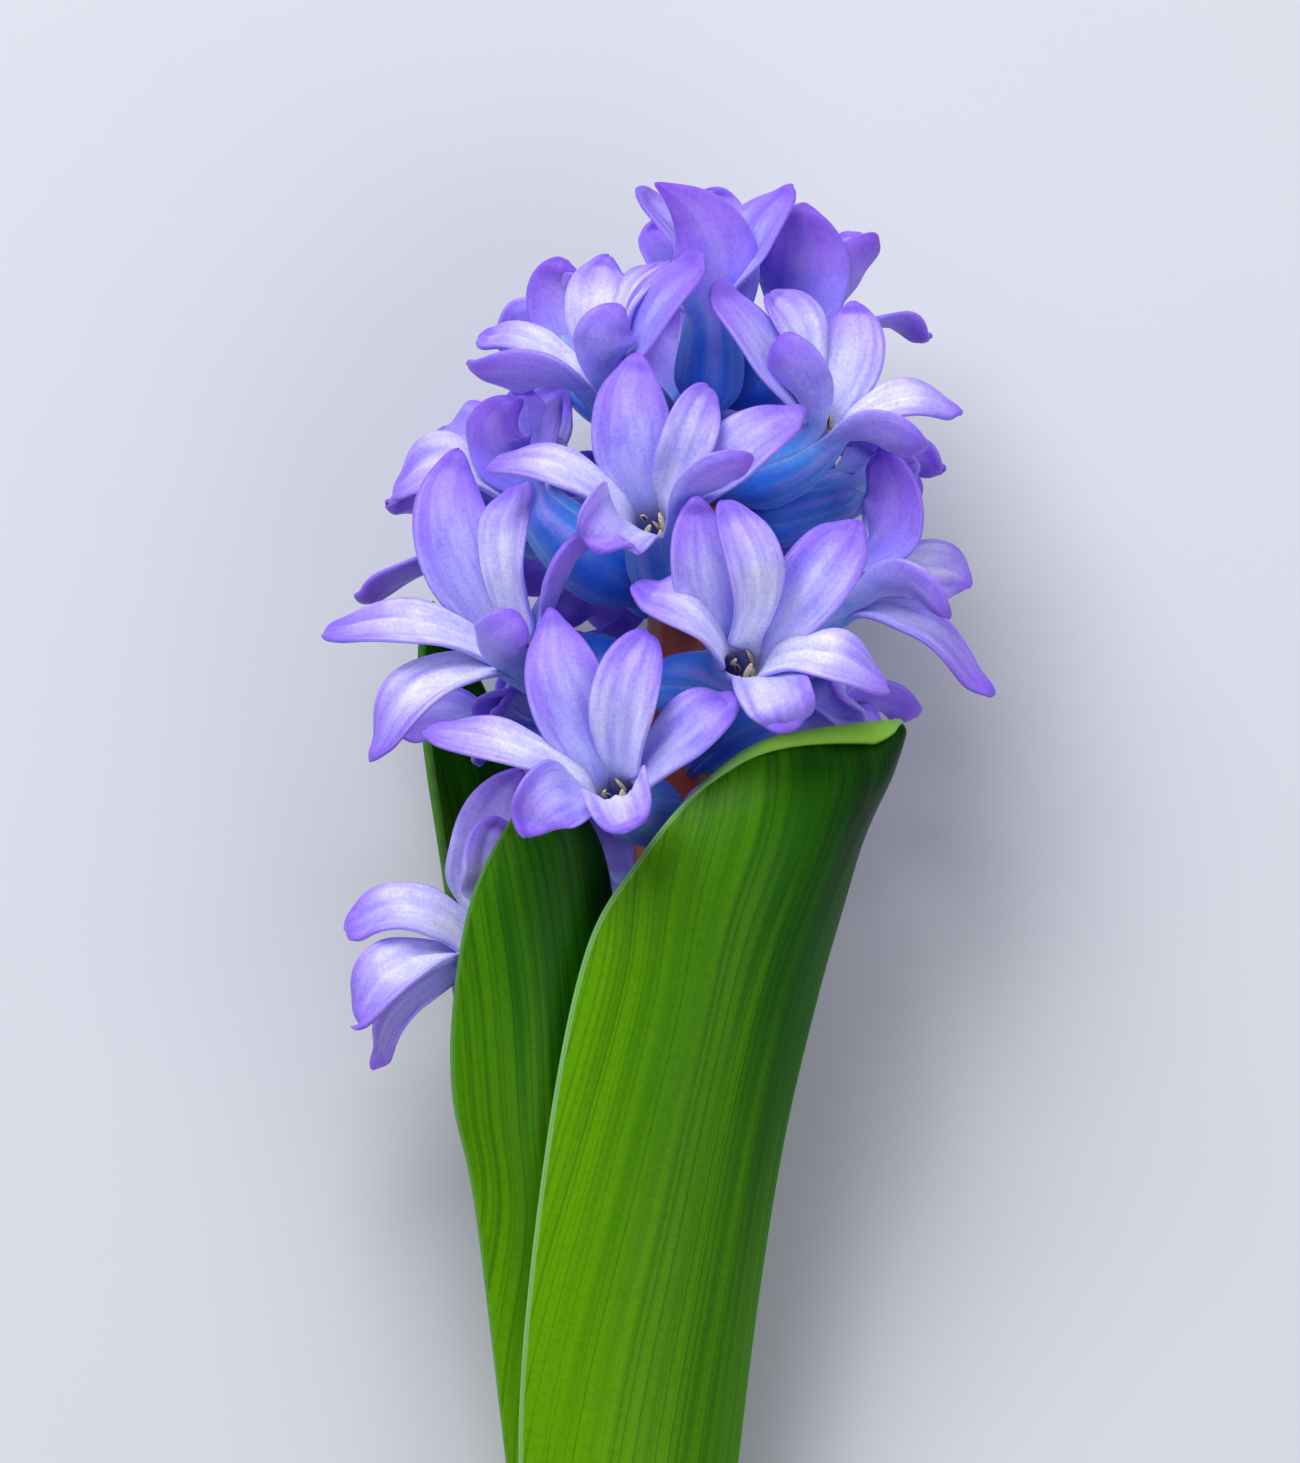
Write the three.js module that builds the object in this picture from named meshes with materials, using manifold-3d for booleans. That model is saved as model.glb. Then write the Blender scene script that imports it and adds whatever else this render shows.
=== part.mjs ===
// A picked hyacinth, lying on a surface: one stem, its florets and its leaves. Millimetres, +Z up.
// Everything is built in the plant's own axes: X across, Y along the stem from the cut end to the
// head, Z to the front of the flower. The last step lays the plant down.
import * as THREE from "three";
import { mergeVertices } from "three/addons/utils/BufferGeometryUtils.js";
import Module from "manifold-3d";

// ---- driving dimensions
const STEM_LENGTH = 161; // the flower stem, from the cut to its hidden top
const STEM_LEAN = 0.053; // sideways drift of the stem for each unit of height
const STEM_FOOT_X = -3.2;
const STEM_FOOT_RADIUS = 5.2;
const STEM_NECK_RADIUS = 4.1; // where the upper florets leave it
const STEM_TOP_RADIUS = 1.6;
const STEM_SIDES = 12;
const NECK_HEIGHT = 140;
const THROAT_RADIUS = 2.8; // where the six petals part
const CUP_DEPTH = 3; // how far the throat is open
const TUBE_BULGE = 3.9; // the swollen lower half of a floret's tube
const TUBE_SIDES = 6;
const TUBE_RISE = 0.5; // upward share of the way that a tube leaves the stem
const ROOT_DEPTH = 0.5; // how far a tube starts below the stem's surface
const PETAL_COUNT = 6;
const PETAL_THICKNESS = 1.2;
const PETAL_EDGE = 0.7;
const PETAL_CHANNEL = 0.3; // how far the edges lift, as a share of the half width
const PLAIN_MIDDLE = [6.5, 6.5]; // out from the throat's axis, and on along it
const PLAIN_TIP = [13.5, 6];
const PLAIN_WIDTHS = [8.2, 7.2]; // inner and outer petals in turn
const REAR_DROP = 4; // how far a rear floret's root is below its throat
const REAR_SIZE = 0.9;
const LEAF_THICKNESS = 1.4;
const LEAF_EDGE = 0.8;
const LEAF_ROWS = 12;
const FINEST = 0.2; // shorter edges are merged where a floret's petals and tube are joined
const GAP = 0.3; // left between touching pieces
const LIE_ANGLE = 10; // degrees: the head is thicker than the foot, so the lying stem slopes
const FLOOR_DEPTH = 6.7; // the surface passes this far behind the stem's centre at the cut

// ---- small helpers
const { cos, sin, sqrt, PI } = Math;
const vec = (x, y, z) => new THREE.Vector3(x, y, z);
const clamp01 = (x) => THREE.MathUtils.clamp(x, 0, 1);
const smooth = (x) => clamp01(x) ** 2 * (3 - 2 * clamp01(x));
const radians = THREE.MathUtils.degToRad;
const degrees = THREE.MathUtils.radToDeg;
const steps = (count) => Array.from({ length: count + 1 }, (_, i) => i / count);

// A value read between [place, value] pairs by straight lines.
function along(pairs, place) {
  const next = Math.max(1, pairs.findIndex(([p]) => p >= place));
  const [[p0, v0], [p1, v1]] = [pairs[next - 1], pairs[next]];
  return v0 + (v1 - v0) * clamp01((place - p0) / (p1 - p0));
}

const wasm = await Module();
wasm.setup();

function geometryOf(points, faces) {
  const geometry = new THREE.BufferGeometry().setFromPoints(points);
  geometry.setIndex(faces.flat());
  return geometry;
}

function solidOf(geometry) {
  const merged = mergeVertices(geometry.clone().deleteAttribute("normal").deleteAttribute("uv"), 1e-4);
  return new wasm.Manifold(
    new wasm.Mesh({
      numProp: 3,
      vertProperties: merged.attributes.position.array,
      triVerts: new Uint32Array(merged.index.array),
    }),
  );
}

function geometryOfSolid(solid) {
  const { vertProperties, triVerts, numProp } = solid.getMesh();
  const points = [];
  for (let i = 0; i < vertProperties.length; i += numProp) {
    points.push(vec(vertProperties[i], vertProperties[i + 1], vertProperties[i + 2]));
  }
  return geometryOf(points, Array.from(triVerts));
}

// Rings of equal length joined into one closed solid; lastMiddle may sink the far end into a cup.
function loft(rings, lastMiddle) {
  const sides = rings[0].length;
  const mean = (ring) => ring.reduce((sum, p) => sum.add(p), vec(0, 0, 0)).divideScalar(sides);
  const points = [...rings.flat(), mean(rings[0]), lastMiddle ?? mean(rings.at(-1))];
  const last = (rings.length - 1) * sides;
  const faces = [];
  for (let k = 0; k < sides; k += 1) {
    const next = (k + 1) % sides;
    for (let i = 0; i < last; i += sides) {
      faces.push([i + k, i + next, i + sides + next], [i + k, i + sides + next, i + sides + k]);
    }
    faces.push([rings.length * sides, next, k], [rings.length * sides + 1, last + k, last + next]);
  }
  return geometryOf(points, faces);
}

// A sheet between two grids of points, top and under, closed round its edge.
function sheet(top, under) {
  const [rows, columns] = [top.length, top[0].length];
  const points = [...top.flat(), ...under.flat()];
  const at = (i, j, below) => (below ? rows * columns : 0) + i * columns + j;
  const faces = [];
  const quad = (a, b, c, d) => faces.push([a, b, c], [a, c, d]);
  for (let i = 0; i < rows - 1; i += 1) {
    for (let j = 0; j < columns - 1; j += 1) {
      quad(at(i, j), at(i, j + 1), at(i + 1, j + 1), at(i + 1, j));
      quad(at(i, j, 1), at(i + 1, j, 1), at(i + 1, j + 1, 1), at(i, j + 1, 1));
    }
    quad(at(i, 0), at(i + 1, 0), at(i + 1, 0, 1), at(i, 0, 1));
    quad(at(i + 1, columns - 1), at(i, columns - 1), at(i, columns - 1, 1), at(i + 1, columns - 1, 1));
  }
  for (let j = 0; j < columns - 1; j += 1) {
    quad(at(0, j + 1), at(0, j), at(0, j, 1), at(0, j + 1, 1));
    quad(at(rows - 1, j), at(rows - 1, j + 1), at(rows - 1, j + 1, 1), at(rows - 1, j, 1));
  }
  return geometryOf(points, faces);
}

// ---- the stem
const stemCentre = (y) => vec(STEM_FOOT_X + STEM_LEAN * y, y, 0);

function stemRadius(y) {
  const neck = [NECK_HEIGHT, STEM_NECK_RADIUS];
  return along([[0, STEM_FOOT_RADIUS], neck, [STEM_LENGTH, STEM_TOP_RADIUS]], y);
}

// The stem's solid, grown by an extra where a gap is cut round it.
function stemSolid(extra) {
  const rings = [0, 0.5, 1, 1.1, STEM_LENGTH / NECK_HEIGHT].map((share) =>
    steps(STEM_SIDES).slice(1).map((u) => {
      const y = share * NECK_HEIGHT;
      const reach = stemRadius(y) + extra;
      const outward = vec(sin(2 * PI * u), 0, cos(2 * PI * u));
      return stemCentre(y < STEM_LENGTH ? y : y + extra).addScaledVector(outward, reach);
    }),
  );
  return solidOf(loft(rings));
}

// ---- one floret: a swollen tube and six petals
const TUBE_PROFILE = [
  [0, 1.2],
  [0.14, 0.4 * TUBE_BULGE],
  [0.32, 0.88 * TUBE_BULGE],
  [0.65, 0.85 * TUBE_BULGE],
  [1, THROAT_RADIUS + 0.5],
];
const SIDEWAYS = vec(0.3, 0.2, 1); // no floret faces this way, so it gives each one a sideways axis

// The tube leaves the stem sideways and ends at the throat, along the way that the floret faces.
function tubeCurve(floret) {
  const throat = vec(...floret.throat);
  const facing = vec(...floret.faces).normalize();
  const rootHeight = throat.y - floret.drop;
  const centre = stemCentre(rootHeight);
  const bearing = radians(floret.rootBearing ?? degrees(Math.atan2(throat.z, throat.x - centre.x)));
  const out = vec(cos(bearing), 0, sin(bearing));
  const root = centre.addScaledVector(out, stemRadius(rootHeight) - ROOT_DEPTH);
  const reach = root.distanceTo(throat);
  const rise = out.clone().add(vec(0, TUBE_RISE, 0)).normalize();
  return new THREE.CubicBezierCurve3(
    root,
    root.clone().addScaledVector(rise, 0.35 * reach),
    throat.clone().addScaledVector(facing, -0.4 * reach),
    throat,
  );
}

function tubeSolid(floret) {
  const curve = tubeCurve(floret);
  const rings = TUBE_PROFILE.map(([u, radius]) => {
    const e1 = curve.getTangent(u).cross(SIDEWAYS).normalize();
    const e2 = curve.getTangent(u).cross(e1);
    return steps(TUBE_SIDES).slice(1).map((v) =>
      curve
        .getPoint(u)
        .addScaledVector(e1, radius * cos(2 * PI * v))
        .addScaledVector(e2, radius * sin(2 * PI * v)),
    );
  });
  const cup = curve.getPoint(1).addScaledVector(curve.getTangent(1), -CUP_DEPTH);
  return solidOf(loft(rings, cup));
}

// A petal's width along its length: a neck, a broad middle and a blunt tip.
function petalWidth(s) {
  return (0.41 + 0.59 * smooth(s / 0.5)) * sqrt(1 - clamp01((s - 0.45) / 0.55) ** 2.5);
}

// The angle about the petal's length, from its side facing the front to its natural side at the throat.
function petalTurn(natural, wanted, s) {
  const difference = ((wanted - natural + 540) % 360) - 180;
  return radians(natural + difference * smooth(s / 0.5));
}

// Centre, width direction and inner side of a petal at s, from 0 in the throat to 1 at its tip.
function petalFrame(floret, petal) {
  const throat = vec(...floret.throat);
  const facing = vec(...floret.faces).normalize();
  const middle = vec(...petal.middle);
  const tip = vec(...petal.tip);
  const flare = middle.clone().multiplyScalar(0.6).addScaledVector(tip, 0.4);
  flare.addScaledVector(facing, -flare.dot(facing)).normalize();
  const root = flare.clone().multiplyScalar(THROAT_RADIUS).addScaledVector(facing, -1);
  const handle = middle.clone().multiplyScalar(2).addScaledVector(root, -0.5).addScaledVector(tip, -0.5);
  const curve = new THREE.QuadraticBezierCurve3(root, handle, tip);
  const flat = vec(0, 0, 1).cross(vec(tip.x, tip.y, 0)).normalize();
  const ringway = facing.clone().cross(flare);
  const axesAt = (s) => {
    const tangent = curve.getTangent(s);
    const side = flat.clone().addScaledVector(tangent, -flat.dot(tangent)).normalize();
    return [side, tangent.clone().cross(side)];
  };
  const [side0, inner0] = axesAt(0);
  const natural = THREE.MathUtils.radToDeg(Math.atan2(ringway.dot(inner0), ringway.dot(side0)));
  return (s) => {
    const [side, inner] = axesAt(s);
    const turn = petalTurn(natural, petal.turn ?? natural, s);
    return {
      centre: curve.getPoint(s).add(throat),
      across: side.clone().multiplyScalar(cos(turn)).addScaledVector(inner, sin(turn)),
      inner: inner.clone().multiplyScalar(cos(turn)).addScaledVector(side, -sin(turn)),
    };
  };
}

const PETAL_STEPS = [0, 0.25, 0.52, 0.78, 0.985];
const PLAIN_STEPS = [0, 0.36, 0.74, 0.985];

function petalSolid(floret, petal) {
  const frameAt = petalFrame(floret, petal);
  const side = (s, sign) => {
    const { centre, across, inner } = frameAt(s);
    const half = 0.5 * petal.width * petalWidth(s);
    return [1, 0, -1].map((t) => {
      const thick = t === 0 ? PETAL_THICKNESS : PETAL_EDGE;
      const lift = PETAL_CHANNEL * half * (1 - 0.5 * s) * t * t + 0.5 * sign * thick;
      return centre.clone().addScaledVector(across, half * t).addScaledVector(inner, lift);
    });
  };
  const places = petal.plain ? PLAIN_STEPS : PETAL_STEPS;
  return solidOf(sheet(places.map((s) => side(s, 1)), places.map((s) => side(s, -1))));
}

// A repeatable share from 0 to 1 for each number, for the small differences between petals.
function share(seed) {
  const wave = 43758.5453 * sin(12.9898 * seed);
  return wave - Math.floor(wave);
}

function petal(middle, tip, width, turn) {
  return { middle, tip, width, turn };
}

// A petal of the plain form, flaring at an angle about the way the floret faces.
function plainPetal(floret, angle, seed) {
  const facing = vec(...floret.faces).normalize();
  const e1 = facing.clone().cross(SIDEWAYS).normalize();
  const flare = e1.clone().multiplyScalar(cos(angle)).addScaledVector(facing.clone().cross(e1), sin(angle));
  const size = (floret.size ?? 1) * (0.94 + 0.12 * share(seed));
  const place = ([out, on]) =>
    flare.clone().multiplyScalar(size * out).addScaledVector(facing, size * on).toArray();
  return { ...petal(place(PLAIN_MIDDLE), place(PLAIN_TIP), PLAIN_WIDTHS[seed % 2]), plain: true };
}

// The angle of a petal about the way that its floret faces.
function flareAngle(floret, middle) {
  const facing = vec(...floret.faces).normalize();
  const e1 = facing.clone().cross(SIDEWAYS).normalize();
  return Math.atan2(vec(...middle).dot(facing.clone().cross(e1)), vec(...middle).dot(e1));
}

// Petals of the plain form go into the widest gaps until a floret has six.
function withSixPetals(floret, number) {
  const petals = [...floret.petals];
  if (petals.length === 0) {
    petals.push(plainPetal(floret, radians(floret.spin), PETAL_COUNT * number));
  }
  while (petals.length < PETAL_COUNT) {
    const angles = petals.map((p) => flareAngle(floret, p.middle)).sort((a, b) => a - b);
    const gaps = angles.map((a, i) => (angles[i + 1] ?? angles[0] + 2 * PI) - a);
    const widest = gaps.indexOf(Math.max(...gaps));
    const angle = angles[widest] + 0.5 * gaps[widest];
    petals.push(plainPetal(floret, angle, PETAL_COUNT * number + petals.length));
  }
  return { ...floret, petals };
}

// A rear floret, at a height and at a bearing in degrees about the stem, with its throat at a reach
// from the stem's centre. The spin turns its petals about the way that it faces.
function rearFloret(height, bearing, spin, reach) {
  const out = vec(cos(radians(bearing)), 0, sin(radians(bearing)));
  const throat = stemCentre(height).addScaledVector(out, reach).toArray();
  const faces = out.clone().add(vec(0, TUBE_RISE, 0)).toArray();
  return { throat, faces, drop: REAR_DROP, petals: [], spin, size: REAR_SIZE };
}

// ---- the florets: throat centre, the way the floret faces, how far its root is below the throat,
// the root's bearing about the stem where it isn't the throat's own, and each petal's middle and tip
// from the throat, its width and the turn of its inner side from the front.

const FLORETS = {
  a: {
    throat: [-4, 115.5, 20],
    faces: [-0.1, 0.6, 0.8],
    drop: 5,
    rootBearing: 95,
    petals: [
      petal([-5, 10, 4], [-7, 19.5, 2], 9, 0),
      petal([1, 9, 6], [4, 16.5, 5], 7.4, 0),
      petal([8.5, 6.5, 4.5], [13.5, 10, 3], 7, -20),
      petal([0.5, -2, 8], [2, -5, 11], 7.4),
      petal([-6.5, -1, 7], [-9.5, -5.5, 8], 8.6, 0),
      petal([-11.5, 4, 6], [-20.5, 6, 3], 7.6, 45),
    ],
  },
  b: {
    throat: [0, 145, 19],
    faces: [-0.1, 0.6, 0.8],
    drop: 10,
    petals: [
      petal([-2, 9, 3], [-1.5, 18, 1], 9, 0),
      petal([4, 8, 5], [6.5, 14, 4], 7.2, 10),
      petal([10, 7.5, 4], [17, 12, 3], 7.2, -25),
      petal([6.5, 4.5, 9], [11.5, 6.5, 10], 7.2, -130),
      petal([-4, -1, 8], [-5.5, -4, 9], 8.4, 0),
      petal([-10, 5, 6], [-17.5, 5.5, 3], 7.6, 45),
    ],
  },
  c: {
    throat: [10.5, 129.5, 20],
    faces: [0.08, 0.6, 0.8],
    drop: 5,
    rootBearing: 115,
    petals: [
      petal([-4.5, 9, 6], [-5.5, 17.5, 8], 7.4, 0),
      petal([1, 9, 9], [-2.5, 17, 9], 6.4, 20),
      petal([8, 9, 4], [12.5, 15, 2], 8.4, -10),
      petal([8.5, 0, 6], [15.5, -3.5, 4], 7.6, -45),
      petal([3.5, -4.5, 8], [4.5, -8.5, 8], 7.6, 0),
      petal([-6, 5, 6], [-12, 7, 5], 7.6, 40),
    ],
  },
  d: {
    throat: [-15, 130.5, 12],
    faces: [-0.3, 0.6, 0.7],
    drop: 3,
    petals: [
      petal([-6.5, 11.5, 3], [-6, 22, 1], 9, 5),
      petal([-1, 11, 5], [1, 18, 3], 7, -40),
      petal([5, 10, 6], [8.5, 15, 6], 7, -80),
      petal([-1, 1, 9], [1.5, 4, 11], 7.4, 180),
      petal([-10.5, -4.5, 5], [-16, -12.5, 4], 7.6, 45),
      petal([-11, 2.5, 5], [-21, 1.5, 3], 7.8, 45),
    ],
  },
  e: {
    throat: [-19, 98.5, 8],
    faces: [-0.7, 0.3, 0.6],
    drop: 8,
    petals: [
      petal([1, 10, 0], [5, 18.5, -2], 9.2, 20),
      petal([1.5, 7.5, 4], [3, 13, 4], 7.4, 20),
      petal([-8, 3, 3], [-14.5, 0.5, 2], 8, 45),
      petal([-8.5, -3.5, 6], [-13, -9.5, 5], 8, 30),
      petal([-8, -7.5, 3], [-12, -14.5, 1], 7, 55),
      petal([0.5, -5.5, 3], [1.5, -11.5, 1], 7.2),
    ],
  },
  f: {
    throat: [20, 156, 10],
    faces: [0.4, 0.8, 0.5],
    drop: 9,
    petals: [
      petal([2, 7, -2], [2.5, 13, -3], 8, 0),
      petal([8, 1.5, 1], [14.5, 0.5, 0], 7.6, -55),
      petal([5.5, -2, 6], [10.5, -3, 5], 7.2, -125),
      petal([-3.5, 4, 7], [-6, 8.5, 8], 7.4, 140),
      petal([-3.5, 9.5, 2], [-7, 13.5, 2], 7.2, 45),
      petal([-8, 5.5, 5], [-13, 15, 4], 7.4, 60),
    ],
  },
  g: {
    throat: [-5.5, 161, 11],
    faces: [-0.3, 0.8, 0.5],
    drop: 9,
    petals: [
      petal([0, 7.5, -1], [1, 13, -3], 8, 0),
      petal([-8, 3, 1], [-13.5, 3.5, 0], 7.4, 60),
      petal([-7.5, -0.5, 6], [-14.5, 1, 5], 7.4, 125),
      petal([0.5, 3.5, 7], [3, 8, 8], 7.2, -165),
      petal([3.5, 8, 2], [7.5, 12, 1], 7, -65),
      petal([6.5, 5.5, 6], [10, 13.5, 5], 7.4, -60),
    ],
  },
  h: {
    throat: [6.5, 168.5, 5],
    faces: [-0.1, 1, 0.1],
    drop: 12,
    petals: [
      petal([0, 6.5, 5], [-5, 13, 6], 9.4, 180),
      petal([-2.5, 6.5, 0], [-8, 13, 0], 7.4, 60),
      petal([0.5, 7, -5], [-0.5, 13, -6], 8.4, 0),
      petal([5, 6, 2], [9, 13, 2], 8, -110),
      petal([4, 6, -6], [7, 11, -9], 7),
      petal([-4, 5, -7], [-6, 10, -10], 7),
    ],
  },
  i: {
    throat: [17.5, 167, -2],
    faces: [0.2, 1, 0.1],
    drop: 9,
    size: 0.85,
    petals: [
      petal([0, 6.5, 3], [-0.5, 13, 4], 8.4, 165),
      petal([5, 5, 1], [7.5, 9.5, 1], 7.2, -110),
      petal([9, 0, -5], [14, -1.5, -7], 7.2, -100),
      petal([1, 5.5, -6], [2, 10.5, -9], 7),
      petal([-4, 5.5, -4], [-6, 10.5, -6], 6.4),
      petal([3.5, 6, 5], [5, 12, 6], 6),
    ],
  },
  j: {
    throat: [22.5, 137, 4],
    faces: [0.8, 0.5, 0.5],
    drop: 7,
    petals: [
      petal([3.5, 8.5, 4], [3, 16, 4], 8, 130),
      petal([0, 9.5, -1], [0.5, 15.5, -2], 7.6, 100),
      petal([8, 2, -3], [13, 0, -5], 7.6, -30),
      petal([5.5, 0.5, 6], [10.5, -3, 6], 7.2, -130),
      petal([8, -4.5, 2], [15.5, -11.5, 1], 7.4, -50),
      petal([4, 3.5, -6], [7, 5, -13], 7),
    ],
  },
  k: {
    throat: [18, 123, -5],
    faces: [0.8, 0.1, 0.1],
    drop: 6,
    rootBearing: 65,
    size: 0.8,
    petals: [
      petal([6.5, 2, 1], [12, 0.5, 0], 7.6, -120),
      petal([4.5, -0.5, 4], [8.5, -2, 4], 7.4, -60),
    ],
  },
  l: {
    throat: [-14, 148.5, 5],
    faces: [-0.5, 0.8, 0.4],
    drop: 12,
    rootBearing: 140,
    petals: [
      petal([-3, 5, 4], [0, 9.5, 5], 8, 160),
      petal([2.5, 5.5, 2], [4, 9, 1], 6.6, 100),
      petal([0, 6, -3], [0, 11.5, -4], 7, 0),
      petal([-2, 5, -7], [-4, 9, -12], 7),
    ],
  },
  m: {
    throat: [9.5, 106, 8],
    faces: [0.5, -0.1, 0.8],
    drop: 6,
    size: 0.8,
    rootBearing: 30,
    petals: [
      petal([-7, -2.5, 2], [-9.2, -4.3, 1], 7, 130),
      petal([-3, 6, 1], [0, 9.5, 0], 7, 160),
    ],
  },
  o: {
    throat: [-14, 121, 0],
    faces: [-0.6, 0.4, -0.1],
    drop: 2,
    size: 0.8,
    petals: [
      petal([-8, 2, 2], [-14.5, 0, 1], 8, 40),
    ],
  },
  p: {
    throat: [23, 148.5, -6.5],
    faces: [0.7, 0.4, -0.3],
    drop: 5,
    size: 0.7,
    petals: [
      petal([5.5, 3, 0], [10, 2, -1], 7.2, -120),
    ],
  },
  q: {
    throat: [-18, 145, -7.5],
    faces: [-0.8, 0.3, -0.2],
    drop: 3,
    size: 0.8,
    petals: [
      petal([-6.5, 1.5, 2], [-11.5, 2, 2], 7.2, 115),
      petal([-9, -6, -3], [-15, -8.5, -5], 7.2, 110),
    ],
  },
  r: {
    throat: [-8.5, 163.5, -8],
    faces: [-0.2, 0.8, -0.5],
    drop: 8,
    size: 0.8,
    petals: [
      petal([-1.5, 6, 1], [-1, 10.5, 1], 8, 170),
    ],
  },
  rear_1: rearFloret(102, 252, 10, 12),
  rear_2: rearFloret(115, 286, 12, 16),
  rear_3: rearFloret(121, 246, 15, 18),
  rear_4: rearFloret(132, 285, 15, 18.1),
  rear_5: rearFloret(145, 291, 45, 16),
  rear_6: rearFloret(140, 244, 20, 16),
  rear_7: rearFloret(158, 271, 55, 15),
};

// ---- leaves: margin places from the foot to the tip, and the bulge at shares of the length
const LEAVES = {
  front_right: {
    side: 1,
    left: [
      [-9, 0, 6.5], [-13, 25, 10], [-14, 47, 12.5], [-11, 76, 16], [-6.7, 97, 18.5],
      [-1, 107, 19.5], [5.6, 115, 19.5], [12.2, 120, 17], [22, 122, 12], [28, 122.2, 9],
    ],
    right: [
      [4, 0, 6.5], [7.5, 20, 5.5], [9.7, 40, 5.5], [12.2, 60, 7], [15, 77, 9],
      [18.5, 92, 10], [21.3, 102, 10], [23.5, 109.5, 9.5], [26, 115.5, 9], [28, 121.4, 8.6],
    ],
    bulge: [[0, 3.4], [0.3, 5], [0.6, 5.5], [0.8, 5], [1, 0]],
  },
  front_left: {
    side: 1,
    left: [
      [-10, 0, -0.5], [-13, 20, 3], [-15.5, 40, 6.5], [-19, 69, 11.5], [-21.4, 81, 14],
      [-21.3, 91.5, 15], [-19.4, 102.5, 16], [-15.6, 110.5, 16.5], [-12.5, 114, 16.5], [-10.3, 115.4, 16],
    ],
    right: [
      [-2.5, 0, 6.8], [-3, 20, 6.6], [-3, 40, 6.6], [-3, 60, 7], [-3, 76, 8.5],
      [-3, 90, 10.5], [-3.9, 101, 13], [-5.2, 108, 14.5], [-7.6, 112.6, 15.5], [-9.9, 115, 15.8],
    ],
    bulge: [[0, 2.8], [0.3, 2.2], [0.6, 2.5], [0.85, 2], [1, 0]],
  },
  back_left: {
    side: -1,
    left: [
      [-9.6, 0, -2.5], [-12, 20, -4], [-14.5, 40, -6], [-17, 60, -9], [-20, 84, -11],
      [-22.8, 105, -12], [-25, 120, -12.5], [-25.6, 129.5, -12.5], [-24.9, 135.5, -12],
    ],
    right: [
      [-3.4, 0, -6.6], [-3.5, 20, -8], [-3.5, 40, -11], [-4, 60, -14], [-6, 80, -17],
      [-9, 98, -18], [-14, 114, -18], [-18.5, 126, -16], [-24.2, 135.9, -12.5],
    ],
    bulge: [[0, 1.5], [0.3, 2], [0.7, 2.5], [1, 0]],
  },
  back_right: {
    side: -1,
    left: [
      [-1.6, 0, -6.6], [-1, 20, -8], [-0.5, 40, -10.5], [0, 60, -13], [1.5, 80, -15.5],
      [5.5, 98, -15.5], [9.8, 110, -15], [12.5, 118, -14.5], [14.5, 123, -14],
    ],
    right: [
      [5.5, 0, -1.5], [6.5, 20, -3], [8, 40, -5.5], [10.5, 60, -8], [13.5, 80, -10.5],
      [16.5, 96, -12.5], [17.5, 108, -12.8], [16.8, 117, -13.4], [15, 122.8, -13.8],
    ],
    bulge: [[0, 1.5], [0.3, 2], [0.7, 2.5], [1, 0]],
  },
};

function floretGeometry(floret) {
  const pieces = floret.petals.map((p) => petalSolid(floret, p));
  const whole = pieces.reduce((sum, piece) => sum.add(piece), tubeSolid(floret));
  const bodies = whole.subtract(stemSolid(GAP)).simplify(FINEST).decompose();
  return bodies.reduce((largest, body) => (body.volume() > largest.volume() ? body : largest));
}

// ---- a leaf between two margin curves, bulging away from the stem
function leafSolid(leaf) {
  const curveOf = (places) => new THREE.CatmullRomCurve3(places.map((p) => vec(...p)), false, "catmullrom");
  const [left, right] = [curveOf(leaf.left), curveOf(leaf.right)];
  const rowAt = (s, sign) => {
    const [a, b] = [left.getPoint(s), right.getPoint(s)];
    const lengthways = left.getTangent(s).add(right.getTangent(s));
    const outward = b.clone().sub(a).cross(lengthways).normalize().multiplyScalar(leaf.side);
    return [-1, -0.5, 0, 0.5, 1].map((t) => {
      const middle = a.clone().lerp(b, 0.5 + 0.5 * t);
      const thick = LEAF_EDGE + (LEAF_THICKNESS - LEAF_EDGE) * (1 - t * t);
      const bulge = along(leaf.bulge, s) * (1 - t * t) + 0.5 * sign * leaf.side * thick;
      return middle.addScaledVector(outward, bulge);
    });
  };
  const rows = steps(LEAF_ROWS);
  return solidOf(sheet(rows.map((s) => rowAt(s, 1)), rows.map((s) => rowAt(s, -1))));
}

// ---- assembly: the plant leans back until its foot and its rear petals lie on the surface
const slope = radians(LIE_ANGLE);
const plant = new THREE.Group();
plant.rotation.x = slope;

function addPiece(name, solid, material) {
  const above = solid.trimByPlane([0, sin(slope), cos(slope)], -FLOOR_DEPTH * cos(slope));
  const mesh = new THREE.Mesh(geometryOfSolid(above), material);
  mesh.name = name;
  plant.add(mesh);
}

const petalMaterial = new THREE.MeshStandardMaterial({ color: 0xb9b2f2, roughness: 0.55, metalness: 0 });
const leafMaterial = new THREE.MeshStandardMaterial({ color: 0x3f8410, roughness: 0.45, metalness: 0 });
const stemMaterial = new THREE.MeshStandardMaterial({ color: 0x6d3a2c, roughness: 0.5, metalness: 0 });

addPiece("stem", stemSolid(0), stemMaterial);
Object.entries(LEAVES).forEach(([name, leaf]) => addPiece(`leaf_${name}`, leafSolid(leaf), leafMaterial));
Object.entries(FLORETS).forEach(([name, floret], number) => {
  addPiece(`floret_${name}`, floretGeometry(withSixPetals(floret, number)), petalMaterial);
});

const flower = new THREE.Group();
flower.name = "hyacinth";
flower.add(plant);
const box = new THREE.Box3().setFromObject(flower, true);
const middle = box.getCenter(vec(0, 0, 0));
plant.position.set(-middle.x, -middle.y, -box.min.z);

export default flower;
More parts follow.
